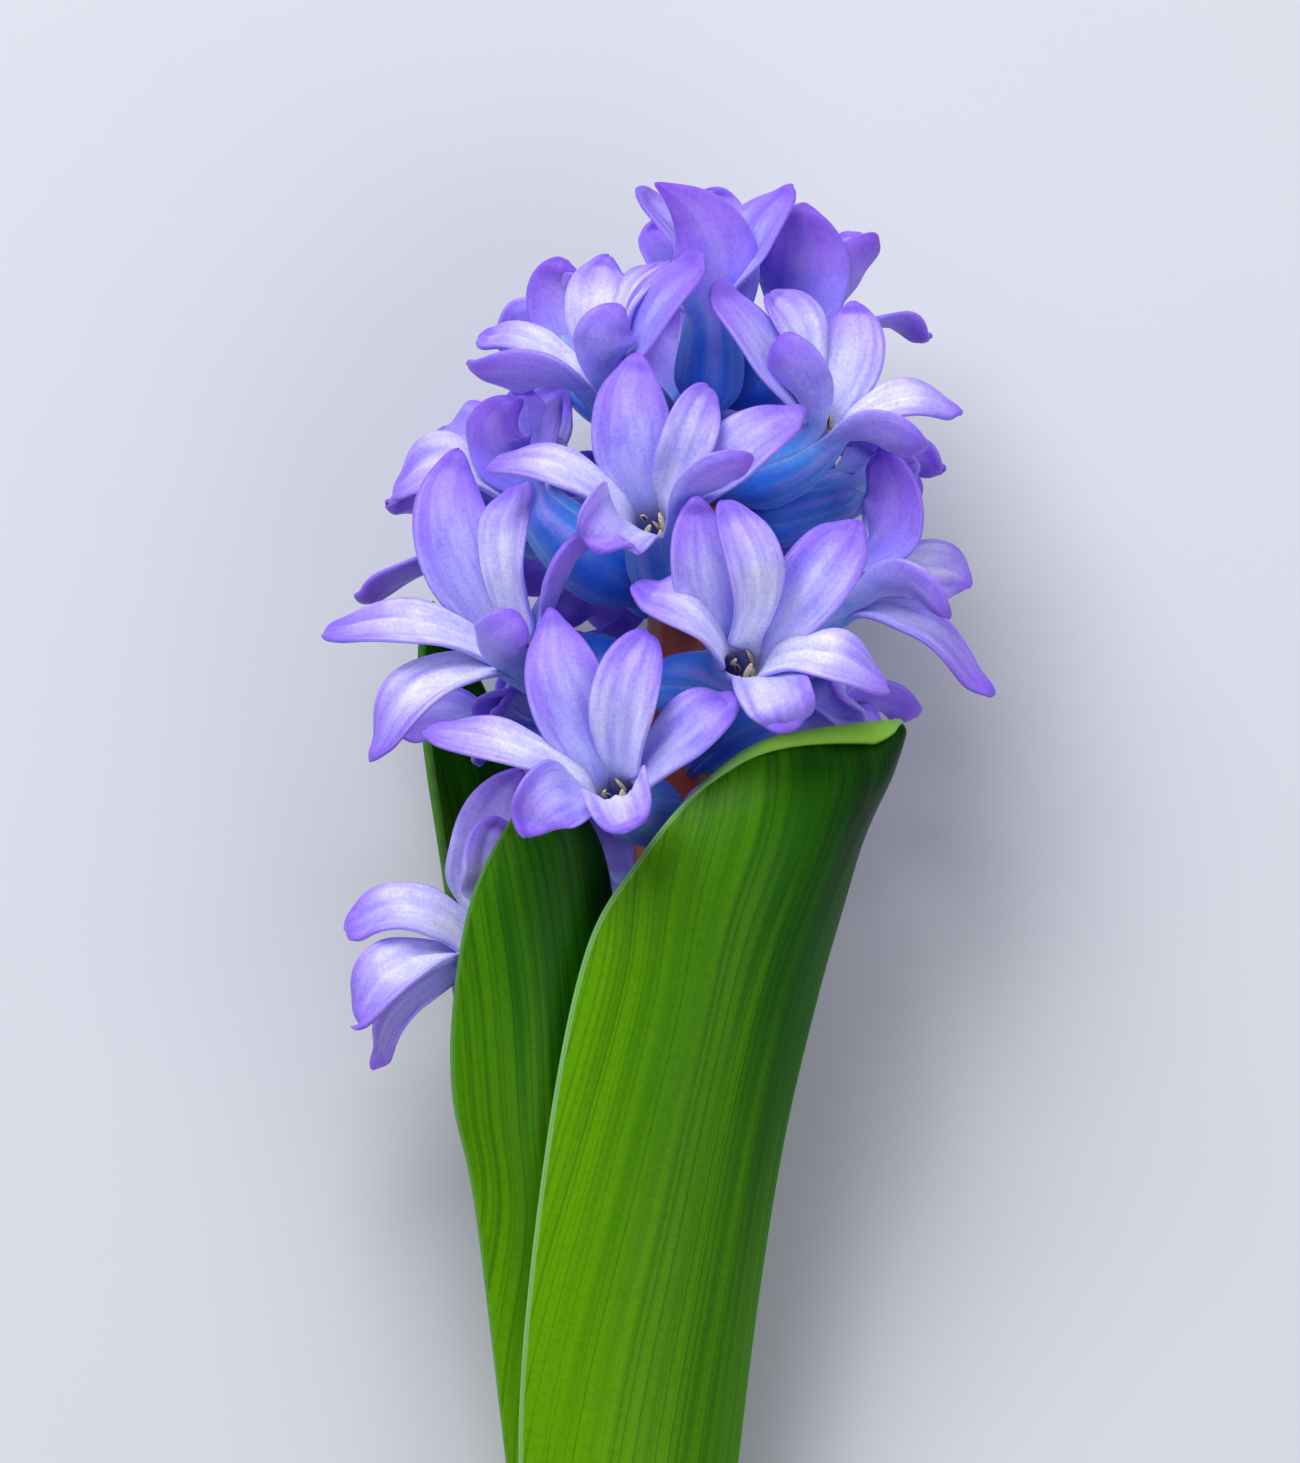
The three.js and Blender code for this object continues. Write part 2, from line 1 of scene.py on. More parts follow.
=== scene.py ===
"""A picked hyacinth lying on a surface: its florets, stamens, stem and leaves, dressed for a still picture.

The plant is worked out in its own axes, in millimetres: X across, Y along the stem from the cut end to
the head, Z to the front of the flower. plant_to_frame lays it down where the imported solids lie.
"""

from functools import partial

import bpy
import numpy as np
from mathutils import Matrix


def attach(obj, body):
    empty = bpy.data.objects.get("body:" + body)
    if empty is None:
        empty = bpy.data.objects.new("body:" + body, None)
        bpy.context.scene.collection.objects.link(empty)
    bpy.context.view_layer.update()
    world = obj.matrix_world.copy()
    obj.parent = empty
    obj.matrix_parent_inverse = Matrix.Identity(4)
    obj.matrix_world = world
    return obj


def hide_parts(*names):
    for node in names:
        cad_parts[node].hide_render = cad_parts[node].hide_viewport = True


bl_info = {
    "name": "Picked hyacinth",
    "version": (1, 0, 0),
    "blender": (4, 5, 0),
    "location": "3D View > Sidebar > Hyacinth",
    "description": "Builds the florets, stamens, stem and leaves of a picked hyacinth round its solids",
    "category": "Object",
}

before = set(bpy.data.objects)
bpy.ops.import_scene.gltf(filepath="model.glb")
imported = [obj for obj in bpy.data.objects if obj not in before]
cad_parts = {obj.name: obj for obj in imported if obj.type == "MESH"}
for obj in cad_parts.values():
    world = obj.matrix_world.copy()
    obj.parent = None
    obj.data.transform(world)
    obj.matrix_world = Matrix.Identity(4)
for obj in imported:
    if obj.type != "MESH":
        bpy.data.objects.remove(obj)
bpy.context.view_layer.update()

MM = 0.001

# The plant's own sizes, in millimetres, as its solids have them.
LIE_ANGLE = np.radians(10)
STEM_LENGTH = 161.0
STEM_LEAN = 0.053  # sideways for each millimetre up
STEM_FOOT_X = -3.2
STEM_FOOT_RADIUS = 5.2
STEM_NECK_RADIUS = 4.1
STEM_TOP_RADIUS = 1.6
NECK_HEIGHT = 140.0
ROOT_DEPTH = 0.5  # how far a tube starts inside the stem
TUBE_RISE = 0.5  # up for each millimetre out, as a tube leaves the stem
TUBE_BULGE = 3.9
THROAT_RADIUS = 2.8
SIDEWAYS = np.array([0.3, 0.2, 1.0])  # no tube runs this way, so it can start the directions round one
PETAL_COUNT = 6
PLAIN_MIDDLE = (6.5, 6.5)  # out from the throat, and on the way that the floret faces
PLAIN_TIP = (13.5, 6.0)
PLAIN_WIDTHS = (9.2, 8.1)
REAR_DROP = 4.0  # how far a rear floret's root is below its throat
REAR_SIZE = 0.9


# ---- small mathematics, on whole arrays

def unit(vectors):
    """Vectors divided by their own length."""
    return vectors / np.linalg.norm(vectors, axis=-1, keepdims=True)


def smooth(x):
    """A ramp from 0 to 1 that starts and ends level: three x squared less two x cubed."""
    x = np.clip(x, 0, 1)
    return x * x * (3 - 2 * x)


def hump(x, width):
    """A bell shape, one at nought: e to the minus square of x over its width."""
    return np.exp(-((x / width) ** 2))


def bezier(handles, u):
    """Places and directions along a Bezier curve: neighbouring handles meet part way u, again and again."""
    level = [np.asarray(h, float)[None, :] for h in handles]
    while len(level) > 2:
        level = [a + (b - a) * u[:, None] for a, b in zip(level, level[1:])]
    return level[0] + (level[1] - level[0]) * u[:, None], unit(level[1] - level[0])


def through(places, s):
    """Places at shares s of a smooth curve through given places, by the uniform Catmull-Rom formula."""
    p = np.asarray(places, float)
    p = np.vstack([2 * p[0] - p[1], p, 2 * p[-1] - p[-2]])
    x = np.clip(s, 0, 1) * (len(p) - 3)
    i = np.minimum(x.astype(int), len(p) - 4)
    f = (x - i)[:, None]
    a, b, c, d = p[i], p[i + 1], p[i + 2], p[i + 3]
    return 0.5 * (2 * b + (c - a) * f + (2 * a - 5 * b + 4 * c - d) * f**2 + (3 * b - a - 3 * c + d) * f**3)


def share(seed):
    """A repeatable number from 0 to 1 for each seed: the last digits of a large multiple of a sine."""
    wave = 43758.5453 * np.sin(12.9898 * seed)
    return wave - np.floor(wave)


# ---- from the plant's axes to the frame

def stem_centre(y):
    """The stem's centre line: straight, drifting sideways as it rises."""
    y = np.asarray(y, float)
    return np.stack([STEM_FOOT_X + STEM_LEAN * y, y, 0 * y], -1)


def stem_radius(y):
    """The stem's radius, by straight lines from foot to neck to top."""
    heights = [0, NECK_HEIGHT, STEM_LENGTH]
    return np.interp(y, heights, [STEM_FOOT_RADIUS, STEM_NECK_RADIUS, STEM_TOP_RADIUS])


def plant_to_frame():
    """The turn and the shift that lay the plant on its solids.

    The turn leans the plant back by LIE_ANGLE about X. The shift puts the middle of the stem's cut end
    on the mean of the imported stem's lowest ring along the leaning stem.
    """
    c, s = np.cos(LIE_ANGLE), np.sin(LIE_ANGLE)
    turn = np.array([[1, 0, 0], [0, c, -s], [0, s, c]])
    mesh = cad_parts["stem"].data
    flat = np.empty(3 * len(mesh.vertices))
    mesh.vertices.foreach_get("co", flat)
    corners = np.unique(np.round(flat.reshape(-1, 3) / MM, 3), axis=0)
    height = corners @ turn[:, 1]
    foot = corners[height < height.min() + 0.01].mean(0)
    return turn, foot - turn @ stem_centre(0)


TURN, SHIFT = plant_to_frame()


# ---- meshes

def ring_faces(rows, loop, start):
    """Quads between rows of closed rings, and a fan of triangles to a pole past each end."""
    i, j = np.meshgrid(np.arange(rows - 1), np.arange(loop), indexing="ij")
    k = (j + 1) % loop
    quads = np.stack([i * loop + j, i * loop + k, (i + 1) * loop + k, (i + 1) * loop + j], -1)
    ring = np.arange(loop)
    after = (ring + 1) % loop
    last = (rows - 1) * loop
    first_fan = np.stack([after, ring, np.full(loop, rows * loop)], -1)
    last_fan = np.stack([last + ring, last + after, np.full(loop, rows * loop + 1)], -1)
    return [quads.reshape(-1, 4) + start, first_fan + start, last_fan + start]


class Build:
    """Collects closed shells, each a grid of rings, and turns them into one mesh object."""

    def __init__(self):
        self.points, self.faces, self.values, self.count = [], [], {}, 0

    def shell(self, rings, **values):
        """Adds a shell from an array of rows x loop x 3 places, with one value of each name a place."""
        rows, loop = rings.shape[:2]
        ends = np.stack([rings[0].mean(0), rings[-1].mean(0)])
        self.points.append(np.vstack([rings.reshape(-1, 3), ends]))
        for name, value in values.items():
            grid = np.broadcast_to(value, (rows, loop)).astype(float)
            ends = [grid[0].mean(), grid[-1].mean()]
            self.values.setdefault(name, []).append(np.concatenate([grid.ravel(), ends]))
        self.faces += ring_faces(rows, loop, self.count)
        self.count += rows * loop + 2

    def piece(self, name, material, node=None):
        """Makes the object, in the frame's metres, gives it its material and body, and hides the solid it
        stands for.
        """
        points = (np.vstack(self.points) @ TURN.T + SHIFT) * MM
        mesh = bpy.data.meshes.new(name)
        faces = [face for group in self.faces for face in group.tolist()]
        mesh.from_pydata(points.tolist(), [], faces)
        for key, parts in self.values.items():
            layer = mesh.attributes.new(key, "FLOAT", "POINT")
            layer.data.foreach_set("value", np.concatenate(parts).astype(np.float32))
        mesh.shade_smooth()
        mesh.materials.append(material)
        made = bpy.data.objects.new(name, mesh)
        bpy.context.scene.collection.objects.link(made)
        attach(made, "root")
        if node:
            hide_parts(node)
        return made


def blade(middle, across, thickness, inner_relief=0, outer_relief=0):
    """A closed shell round a middle surface, as rings.

    The middle surface is a grid whose columns go from the across value +1 to -1. Its normal is the
    cross product of its directions along and across. The inner side stands half the thickness up the
    normal and the outer side half of it down, each with its own relief, and both come together at the
    edges as the thickness goes to nought there.
    """
    along = np.gradient(middle, axis=0)
    sideways = np.gradient(middle, axis=1) / np.gradient(across)[None, :, None]
    normal = unit(np.cross(along, sideways))
    inner = middle + normal * (0.5 * thickness + inner_relief)[..., None]
    outer = middle - normal * (0.5 * thickness + outer_relief)[..., None]
    return np.concatenate([inner, outer[:, -2:0:-1]], 1)


def round_trip(grid):
    """The values of a grid's columns, there and back, as blade lays out its rings."""
    return np.concatenate([grid, grid[..., -2:0:-1]], -1)


def side_values(thick):
    """How far to the inner side each place of a ring is: a half at the margins, and one or nought between."""
    return np.concatenate([0.5 + 0.5 * thick, (0.5 - 0.5 * thick)[-2:0:-1]])[None, :]


# ---- one floret

def way_out(bearing):
    """The way out of the stem at a bearing in degrees, from the right and round by the front."""
    return np.array([np.cos(np.radians(bearing)), 0, np.sin(np.radians(bearing))])


def ring_axes(axis):
    """Two directions round an axis, at right angles to it and to each other."""
    first = unit(np.cross(axis, SIDEWAYS))
    return first, np.cross(axis, first)


def tube_handles(floret):
    """The four handles of a tube's curve: out of the stem, and up to the throat along its facing."""
    throat = floret["throat"]
    height = throat[1] - floret["drop"]
    centre = stem_centre(height)
    own = np.degrees(np.arctan2(throat[2], throat[0] - centre[0]))
    out = way_out(floret.get("root_bearing", own))
    root = centre + out * (stem_radius(height) - ROOT_DEPTH)
    reach = np.linalg.norm(throat - root)
    rise = unit(out + np.array([0, TUBE_RISE, 0]))
    return [root, root + 0.35 * reach * rise, throat - 0.4 * reach * floret["faces"], throat]


def petal_axes(floret, petal, s):
    """Centre, width direction and inner side of a petal at shares s of its length, from the throat.

    The centre line is a quadratic curve from the throat through the petal's middle to its tip. The
    width direction starts along the throat's rim, and turns about the centre line, by a smooth ramp
    over the first half, to the angle that the petal's inner side makes with the front.
    """
    facing = floret["faces"]
    middle, tip = np.array(petal["middle"], float), np.array(petal["tip"], float)
    flare = 0.6 * middle + 0.4 * tip
    flare = unit(flare - (flare @ facing) * facing)
    root = 0.85 * THROAT_RADIUS * flare - facing
    handle = 2 * middle - 0.5 * root - 0.5 * tip
    flat = unit(np.cross([0, 0, 1], [tip[0], tip[1], 0]))
    ringway = np.cross(facing, flare)
    places, tangents = bezier([root, handle, tip], np.concatenate([[0], s]))
    side = unit(flat - (tangents @ flat)[:, None] * tangents)
    inner = np.cross(tangents, side)
    natural = np.degrees(np.arctan2(ringway @ inner[0], ringway @ side[0]))
    wanted = natural if petal["turn"] is None else petal["turn"]
    turn = np.radians(natural + ((wanted - natural + 540) % 360 - 180) * smooth(s / 0.5))[:, None]
    side, inner = side[1:], inner[1:]
    centre = places[1:] + floret["throat"]
    return centre, side * np.cos(turn) + inner * np.sin(turn), inner * np.cos(turn) - side * np.sin(turn)


OUTER = {"neck": 0.68, "widest": 0.45, "point": 0.7, "channel": 0.2, "wave": 0.35, "hood": 0.9,
         "recurve": 1.1, "ridge": 0.3, "tint": 0.62, "rolls": ()}
INNER = {"neck": 0.64, "widest": 0.55, "point": 0.43, "channel": 0.35, "wave": 0.3, "hood": 0.5,
         "recurve": 0.5, "ridge": 1.0, "tint": -0.25, "rolls": ()}


def petal(middle, tip, width, turn=None, **form):
    """A petal's middle and tip from the throat, its width, its turn from the front, and its own form.

    The form may set what OUTER and INNER hold: how broad the neck is, where it is widest, how pointed the
    tip is, how far the margins rise (channel), wave and roll, how the tip hoods and bends back, how strong
    the ridges are, and the tint. A roll has its place and length, and how far it lifts each margin.
    """
    return {"middle": middle, "tip": tip, "width": width, "turn": turn, "form": form}


def bell(throat, faces, drop, petals, **form):
    """A floret's throat, the way it faces, its root's drop below the throat, its petals, and its own form.

    The form may set a root_bearing, a size for plain petals, a swell of the tube and a flush of the tint.
    """
    faces = unit(np.array(faces, float))
    return {"throat": np.array(throat, float), "faces": faces, "drop": drop, "petals": petals, **form}


def plain_petal(floret, angle, seed):
    """A petal of the plain form, flaring at an angle about the way the floret faces."""
    facing = floret["faces"]
    e1, e2 = ring_axes(facing)
    flare = e1 * np.cos(angle) + e2 * np.sin(angle)
    size = floret.get("size", 1) * (0.94 + 0.12 * share(seed))
    middle, tip = (size * (out * flare + on * facing) for out, on in (PLAIN_MIDDLE, PLAIN_TIP))
    return petal(middle, tip, PLAIN_WIDTHS[seed % 2])


def flare_angle(floret, middle):
    """The angle of a petal about the way that its floret faces."""
    e1, e2 = ring_axes(floret["faces"])
    return np.arctan2(np.dot(middle, e2), np.dot(middle, e1))


def six_petals(floret, number):
    """The floret's petals in order round it, with plain ones in the widest gaps until there are six.

    Outer and inner petals take turns, and the first that is listed is an outer one.
    """
    petals = list(floret["petals"])
    if not petals:
        petals.append(plain_petal(floret, np.radians(floret["spin"]), PETAL_COUNT * number))
    while len(petals) < PETAL_COUNT:
        angles = np.sort([flare_angle(floret, p["middle"]) for p in petals])
        gaps = np.diff(np.append(angles, angles[0] + 2 * np.pi))
        widest = int(gaps.argmax())
        angle = angles[widest] + 0.5 * gaps[widest]
        petals.append(plain_petal(floret, angle, PETAL_COUNT * number + len(petals)))
    ring = sorted(petals, key=lambda p: flare_angle(floret, p["middle"]))
    first = next(i for i, p in enumerate(ring) if p is petals[0])
    kinds = [INNER if (i - first) % 2 else OUTER for i in range(PETAL_COUNT)]
    return [{**kind, **p, **p["form"]} for kind, p in zip(kinds, ring)]


def rear_floret(height, bearing, spin, reach):
    """A floret of the plain form, at a height, a bearing and a reach from the stem's centre."""
    out = way_out(bearing)
    throat, faces = stem_centre(height) + reach * out, out + np.array([0, TUBE_RISE, 0])
    return bell(throat, faces, REAR_DROP, [], spin=spin, size=REAR_SIZE)


# ---- the florets: throat, the way it faces, how far its root is below, and each petal

FLORETS = {
    "a": bell([-4, 115.5, 20], [-0.1, 0.6, 0.8], 5, [
        petal([-5, 10, 4], [-7, 19.5, 2], 9, 0, point=0.85),
        petal([1, 9, 6], [4, 16.5, 5], 7.4, 0, tint=0.15),
        petal([8.5, 6.5, 4.5], [13.5, 10, 3], 7, -20),
        petal([0.5, -2, 8], [2, -5, 11], 7.4, rolls=[(0.5, 0.2, 1.6, 0.2), (0.55, 0.12, 0, 2.6)], wave=0.1),
        petal([-6.5, -1.4, 7], [-9.5, -5.8, 8], 8.2, 0,
              rolls=[(0.8, 0.25, 1.6, 0), (0.35, 0.2, 0, 0.6)], wave=0.1),
        petal([-11.5, 4, 6], [-20.5, 6, 3], 6.4, 45),
    ], root_bearing=95, flush=0.15),
    "b": bell([0, 145, 19], [-0.1, 0.6, 0.8], 10, [
        petal([-2, 9, 3], [-1.5, 18, 1], 9, 0),
        petal([4, 8, 5], [6.5, 14, 4], 6, 10, tint=-0.9, neck=0.75),
        petal([10, 7.5, 4], [17, 12, 3], 7.2, -25),
        petal([6.2, 3.6, 9], [11.3, 6.3, 10], 6, -130, point=0.8, tint=0.1),
        petal([-4, -1, 8], [-5.5, -4, 9], 9, 0, rolls=[(0.6, 0.3, 1.2, 0.3)], wave=0.1, recurve=0.3),
        petal([-10, 5, 6], [-17.5, 5.5, 3], 6.2, 45),
    ]),
    "c": bell([10.5, 129.5, 20], [0.08, 0.6, 0.8], 5, [
        petal([-4.5, 9, 6], [-5.5, 17.5, 8], 7.4, 0),
        petal([1, 9, 9], [-2.5, 17, 9], 6.4, 20),
        petal([8, 9, 4], [12.5, 15, 2], 8.4, -10),
        petal([8.5, 0, 6], [15.5, -3.5, 4], 7.6, -45),
        petal([3.5, -4.5, 8], [4.5, -8.5, 8], 8, 0, rolls=[(0.3, 0.2, 2, 0)], wave=0.1, point=0.5),
        petal([-6, 5, 6], [-12, 7, 5], 7.6, 40, point=0.5, hood=1.5),
    ], root_bearing=115),
    "d": bell([-15, 130.5, 12], [-0.3, 0.6, 0.7], 3, [
        petal([-6.5, 11.5, 3], [-6, 22, 1], 9, 5),
        petal([-1, 11, 5], [1, 18, 3], 7, -40),
        petal([5.4, 8.2, 6.5], [8.8, 14.6, 6], 7, -105, tint=0.7),
        petal([-1.6, 0.2, 9], [1.2, 3, 11], 6.6, 180, wave=0.8, tint=-0.6, rolls=[(0.6, 0.2, 0, 1.2)]),
        petal([-10.5, -4.5, 5], [-16, -12.5, 4], 7.2, 40, tint=-0.1),
        petal([-11, 2.5, 5], [-21, 1.5, 3], 6.6, 45),
    ], flush=0.1),
    "e": bell([-19, 98.5, 8], [-0.7, 0.3, 0.6], 8, [
        petal([1, 10, 0], [5, 18.5, -2], 9.2, 20, tint=0.1),
        petal([1.5, 7.5, 4], [3, 13, 4], 7.4, 20),
        petal([-8, 3, 3], [-14.5, 0.5, 2], 8, 45, wave=0.6, tint=0),
        petal([-8.5, -3.5, 6], [-13, -9.5, 5], 8, 30, rolls=[(0.6, 0.5, 0, 2.4)]),
        petal([-8, -7.5, 3], [-12, -14.5, 1], 7, 55),
        petal([0.5, -5.5, 3], [1.5, -11.5, 1], 7.2),
    ], flush=-0.35),
    "f": bell([20, 156, 10], [0.4, 0.8, 0.5], 9, [
        petal([2, 7, -2], [2.5, 13, -3], 8, 0),
        petal([8, 1.5, 1], [14.5, 0.5, 0], 7.6, -55, point=0.85),
        petal([5.5, -2, 6], [10.5, -3, 5], 7.2, -125),
        petal([-3.5, 4, 7], [-6, 8.5, 8], 7.4, 140),
        petal([-3.5, 9.5, 2], [-7, 13.5, 2], 7.2, 45),
        petal([-7.7, 7.6, 5], [-12.4, 15.2, 4], 7.4, 48, point=0.5, neck=0.8, wave=0.15, tint=1.0),
    ], flush=-0.4),
    "g": bell([-5.5, 161, 11], [-0.3, 0.8, 0.5], 9, [
        petal([0, 7.5, -1], [1, 13, -3], 8, 0, tint=-0.2),
        petal([-8, 3, 1], [-13.5, 3.5, 0], 7.4, 60),
        petal([-7.5, -0.5, 6], [-14.5, 1, 5], 7.4, 125),
        petal([0.5, 3, 7], [2.6, 6.9, 8], 7, -165, point=0.8),
        petal([3.5, 8, 2], [7.5, 12, 1], 7, -65),
        petal([5.8, 6.6, 6], [10.8, 13.4, 5], 7.8, -46, point=0.5, neck=0.95, wave=0.15, tint=1.0),
    ], flush=-0.15),
    "h": bell([6.5, 168.5, 5], [-0.1, 1, 0.1], 12, [
        petal([0.3, 7.2, 5], [-6, 13.3, 6], 9.6, 180, hood=0, wave=0.2, tint=0.9, neck=0.9,
              widest=0.25, point=1.05),
        petal([-2.5, 6.5, 0], [-8, 13, 0], 7.4, 60),
        petal([0.5, 7, -5], [-0.5, 13, -6], 8.4, 0),
        petal([4.9, 7, 2], [9.3, 13.4, 1], 8.4, -50, wave=0.2, tint=0.4, point=0.85, neck=0.85),
        petal([4, 6, -6], [7, 11, -9], 7),
        petal([-4, 5, -7], [-6, 10, -10], 7),
    ], flush=0.4),
    "i": bell([17.5, 167, -2], [0.2, 1, 0.1], 9, [
        petal([-0.6, 6.5, 3], [-0.6, 13, 4], 11, 165, wave=0.2, tint=1.1, neck=0.9, widest=0.3),
        petal([4.6, 5, 1], [7.7, 9.6, 1], 7.2, -125, tint=0.8, point=0.85),
        petal([9, 0, -5], [14, -1.5, -7], 7.2, -100),
        petal([1, 5.5, -6], [2, 10.5, -9], 7),
        petal([-4, 5.5, -4], [-6, 10.5, -6], 6.4),
        petal([3.5, 6, -3], [5, 10, -5], 5.6),
    ], size=0.85, flush=0.45),
    "j": bell([22.5, 137, 4], [0.8, 0.5, 0.5], 7, [
        petal([4, 8, 4], [3.2, 16, 4], 9, 140, point=0.8),
        petal([2.5, 9.5, -1], [2.6, 15, -2], 7.2, 120),
        petal([8, 2, -3], [13.2, 0.4, -5], 7.2, 0, point=0.85),
        petal([5.5, 0.9, 6], [10.6, -3.3, 6], 5.8, -130, point=0.95),
        petal([8, -4.2, 2], [15.7, -11.7, 1], 6.4, -50, point=0.6),
        petal([4, 3.5, -6], [7, 5, -13], 7),
    ], flush=0.1),
    "k": bell([18, 123, -5], [0.8, 0.1, 0.1], 6, [
        petal([6.5, 2, 1], [12, 0.5, 0], 7.6, -120),
        petal([4.5, -0.5, 4], [8.5, -2, 4], 7.4, -60),
    ], root_bearing=65, size=0.6, flush=0.05),
    "l": bell([-14, 148.5, 5], [-0.5, 0.8, 0.4], 13, [
        petal([-3, 5, 4], [0, 9.5, 5], 7.8, 160, point=0.95, tint=0.9),
        petal([2.5, 5.5, 2], [4, 9, 1], 6.6, 100, wave=0, hood=0),
        petal([0, 6, -3], [0, 11.5, -4], 7, 0),
        petal([1.5, 6, -6], [4.5, 11, -9], 7, 20),
    ], root_bearing=140, swell=1.15, flush=0.35),
    "m": bell([9.5, 106, 8], [0.5, -0.1, 0.8], 6, [
        petal([-7, -2.5, 2], [-9.2, -4.3, 1], 7, 130),
        petal([-3, 6, 1], [0, 9.5, 0], 7, 160),
    ], root_bearing=30, size=0.8, flush=0.3),
    "o": bell([-14, 121, 0], [-0.6, 0.4, -0.1], 2, [
        petal([-8, 2, 2], [-14.5, 0, 1], 8, 40),
    ], size=0.5, flush=0.3),
    "p": bell([23, 148.5, -6.5], [0.7, 0.4, -0.3], 5, [
        petal([5.5, 3, 0], [10, 2, -1], 7.2, -120),
    ], size=0.45, flush=0.3),
    "q": bell([-18, 145, -7.5], [-0.8, 0.3, -0.2], 3, [
        petal([-6.5, 1.5, 2], [-11.5, 2, 2], 7.2, 115),
        petal([-9, -6, -3], [-15, -8.5, -5], 7.2, 110),
    ], size=0.6, flush=0.3),
    "r": bell([-8.5, 163.5, -8], [-0.2, 0.8, -0.5], 8, [
        petal([-1.5, 6, 1], [-1, 10.5, 1], 8, 170),
    ], size=0.6, flush=0.35),
    "rear_1": rear_floret(102, 252, 10, 12),
    "rear_2": rear_floret(115, 286, 12, 16),
    "rear_3": rear_floret(121, 246, 15, 18),
    "rear_4": rear_floret(132, 285, 0, 18.1),
    "rear_5": rear_floret(145, 291, 45, 16),
    "rear_6": rear_floret(140, 244, -10, 16),
    "rear_7": rear_floret(158, 271, 73, 15),
}


# ---- the leaves: margin places from foot to tip, and the bulge at shares of the length

LEAVES = {
    "front_right": {
        "side": 1, "rolled": 1.0,
        "left": [
            [-9, 0, 6.5], [-13, 25, 10], [-14, 47, 12.5], [-11, 76, 16], [-6.7, 97, 18.5],
            [-1, 107, 19.5], [5.6, 115, 19.5], [12.2, 120, 17], [22, 122, 12], [28, 122.2, 9],
        ],
        "right": [
            [4, 0, 6.5], [7.5, 20, 5.5], [9.7, 40, 5.5], [12.2, 60, 7], [15, 77, 9],
            [18.5, 92, 10], [21.3, 102, 10], [23.5, 109.5, 9.5], [26, 115.5, 9], [28, 121.4, 8.6],
        ],
        "bulge": [[0, 3.4], [0.3, 5], [0.6, 5.5], [0.8, 5], [1, 0]],
    },
    "front_left": {
        "side": 1, "rolled": 0.0,
        "left": [
            [-10, 0, -0.5], [-13, 20, 3], [-15.5, 40, 6.5], [-19, 69, 11.5], [-21.4, 81, 14],
            [-21.3, 91.5, 15], [-19.4, 102.5, 16], [-15.6, 110.5, 16.5], [-12.5, 114, 16.5],
            [-10.3, 115.4, 16],
        ],
        "right": [
            [-2.5, 0, 6.8], [-3, 20, 6.6], [-3, 40, 6.6], [-3, 60, 7], [-3, 76, 8.5],
            [-3, 90, 10.5], [-3.9, 101, 13], [-5.2, 108, 14.5], [-7.6, 112.6, 15.5], [-9.9, 115, 15.8],
        ],
        "bulge": [[0, 2.8], [0.3, 2.2], [0.6, 2.5], [0.85, 2], [1, 0]],
    },
    "back_left": {
        "side": -1, "rolled": 0.0,
        "left": [
            [-9.6, 0, -2.5], [-12, 20, -4], [-14.5, 40, -6], [-17, 60, -9], [-20, 84, -11],
            [-22.8, 105, -12], [-25, 120, -12.5], [-25.6, 129.5, -12.5], [-24.9, 135.5, -12],
        ],
        "right": [
            [-3.4, 0, -6.6], [-3.5, 20, -8], [-3.5, 40, -11], [-4, 60, -14], [-6, 80, -17],
            [-9, 98, -18], [-14, 114, -18], [-18.5, 126, -16], [-24.2, 135.9, -12.5],
        ],
        "bulge": [[0, 1.5], [0.3, 2], [0.7, 2.5], [1, 0]],
    },
    "back_right": {
        "side": -1, "rolled": 0.0,
        "left": [
            [-1.6, 0, -6.6], [-1, 20, -8], [-0.5, 40, -10.5], [0, 60, -13], [1.5, 80, -15.5],
            [5.5, 98, -15.5], [9.8, 110, -15], [12.5, 118, -14.5], [14.5, 123, -14],
        ],
        "right": [
            [5.5, 0, -1.5], [6.5, 20, -3], [8, 40, -5.5], [10.5, 60, -8], [13.5, 80, -10.5],
            [16.5, 96, -12.5], [17.5, 108, -12.8], [16.8, 117, -13.4], [15, 122.8, -13.8],
        ],
        "bulge": [[0, 1.5], [0.3, 2], [0.7, 2.5], [1, 0]],
    },
}


# ---- the surface of a floret: six blades, each a sector of the tube that goes on as a petal

PETAL_COLUMNS = 15
TUBE_ROWS = 16
BRIDGE_ROWS = 5
LOBE_ROWS = 40
TUBE_END = 0.84  # the share of a tube's curve that the tube's own rows cover
LOBE_START = 0.1  # the share of a petal's length that its bridge covers
TUBE_ROOT_RADIUS = 1.3
TUBE_PINCH = 0.2  # how far the tube narrows past the throat's radius
TUBE_OVERLAP = 1.1  # a sector's angle over an even share of the tube, so that blades overlap
THROAT_ALONG = 0.45  # the along value at the throat: the tube is below it
GROOVE_DEPTH = 0.42
GROOVE_PLACE = 0.34  # the across value where a groove is deepest
RIDGE_HEIGHT = 0.14
KEEL_HEIGHT = 0.22
TINT_SPREAD = 0.25  # how far the petals' tints stray from each other


def tube_radius(u):
    """From a narrow root to the bulge by one smooth ramp, and in to the throat by another."""
    swell = TUBE_ROOT_RADIUS + (TUBE_BULGE - TUBE_ROOT_RADIUS) * smooth(u / 0.42)
    return swell - (TUBE_BULGE - THROAT_RADIUS - TUBE_PINCH) * smooth((u - 0.5) / 0.45)


def lobe_width(s, petal):
    """From the neck by a smooth ramp to the widest place, and in to the tip by a power of a falling power.

    A half as the last power gives a round tip, and near one it gives a pointed one. A hair of width is
    left at the tip, so that the surface has a way across it there too.
    """
    widest, neck = petal["widest"], petal["neck"]
    closing = 1 - 0.998 * np.clip((s - widest) / (1 - widest), 0, 1) ** 2.2
    return (neck + (1 - neck) * smooth(s / widest)) * closing ** petal["point"]


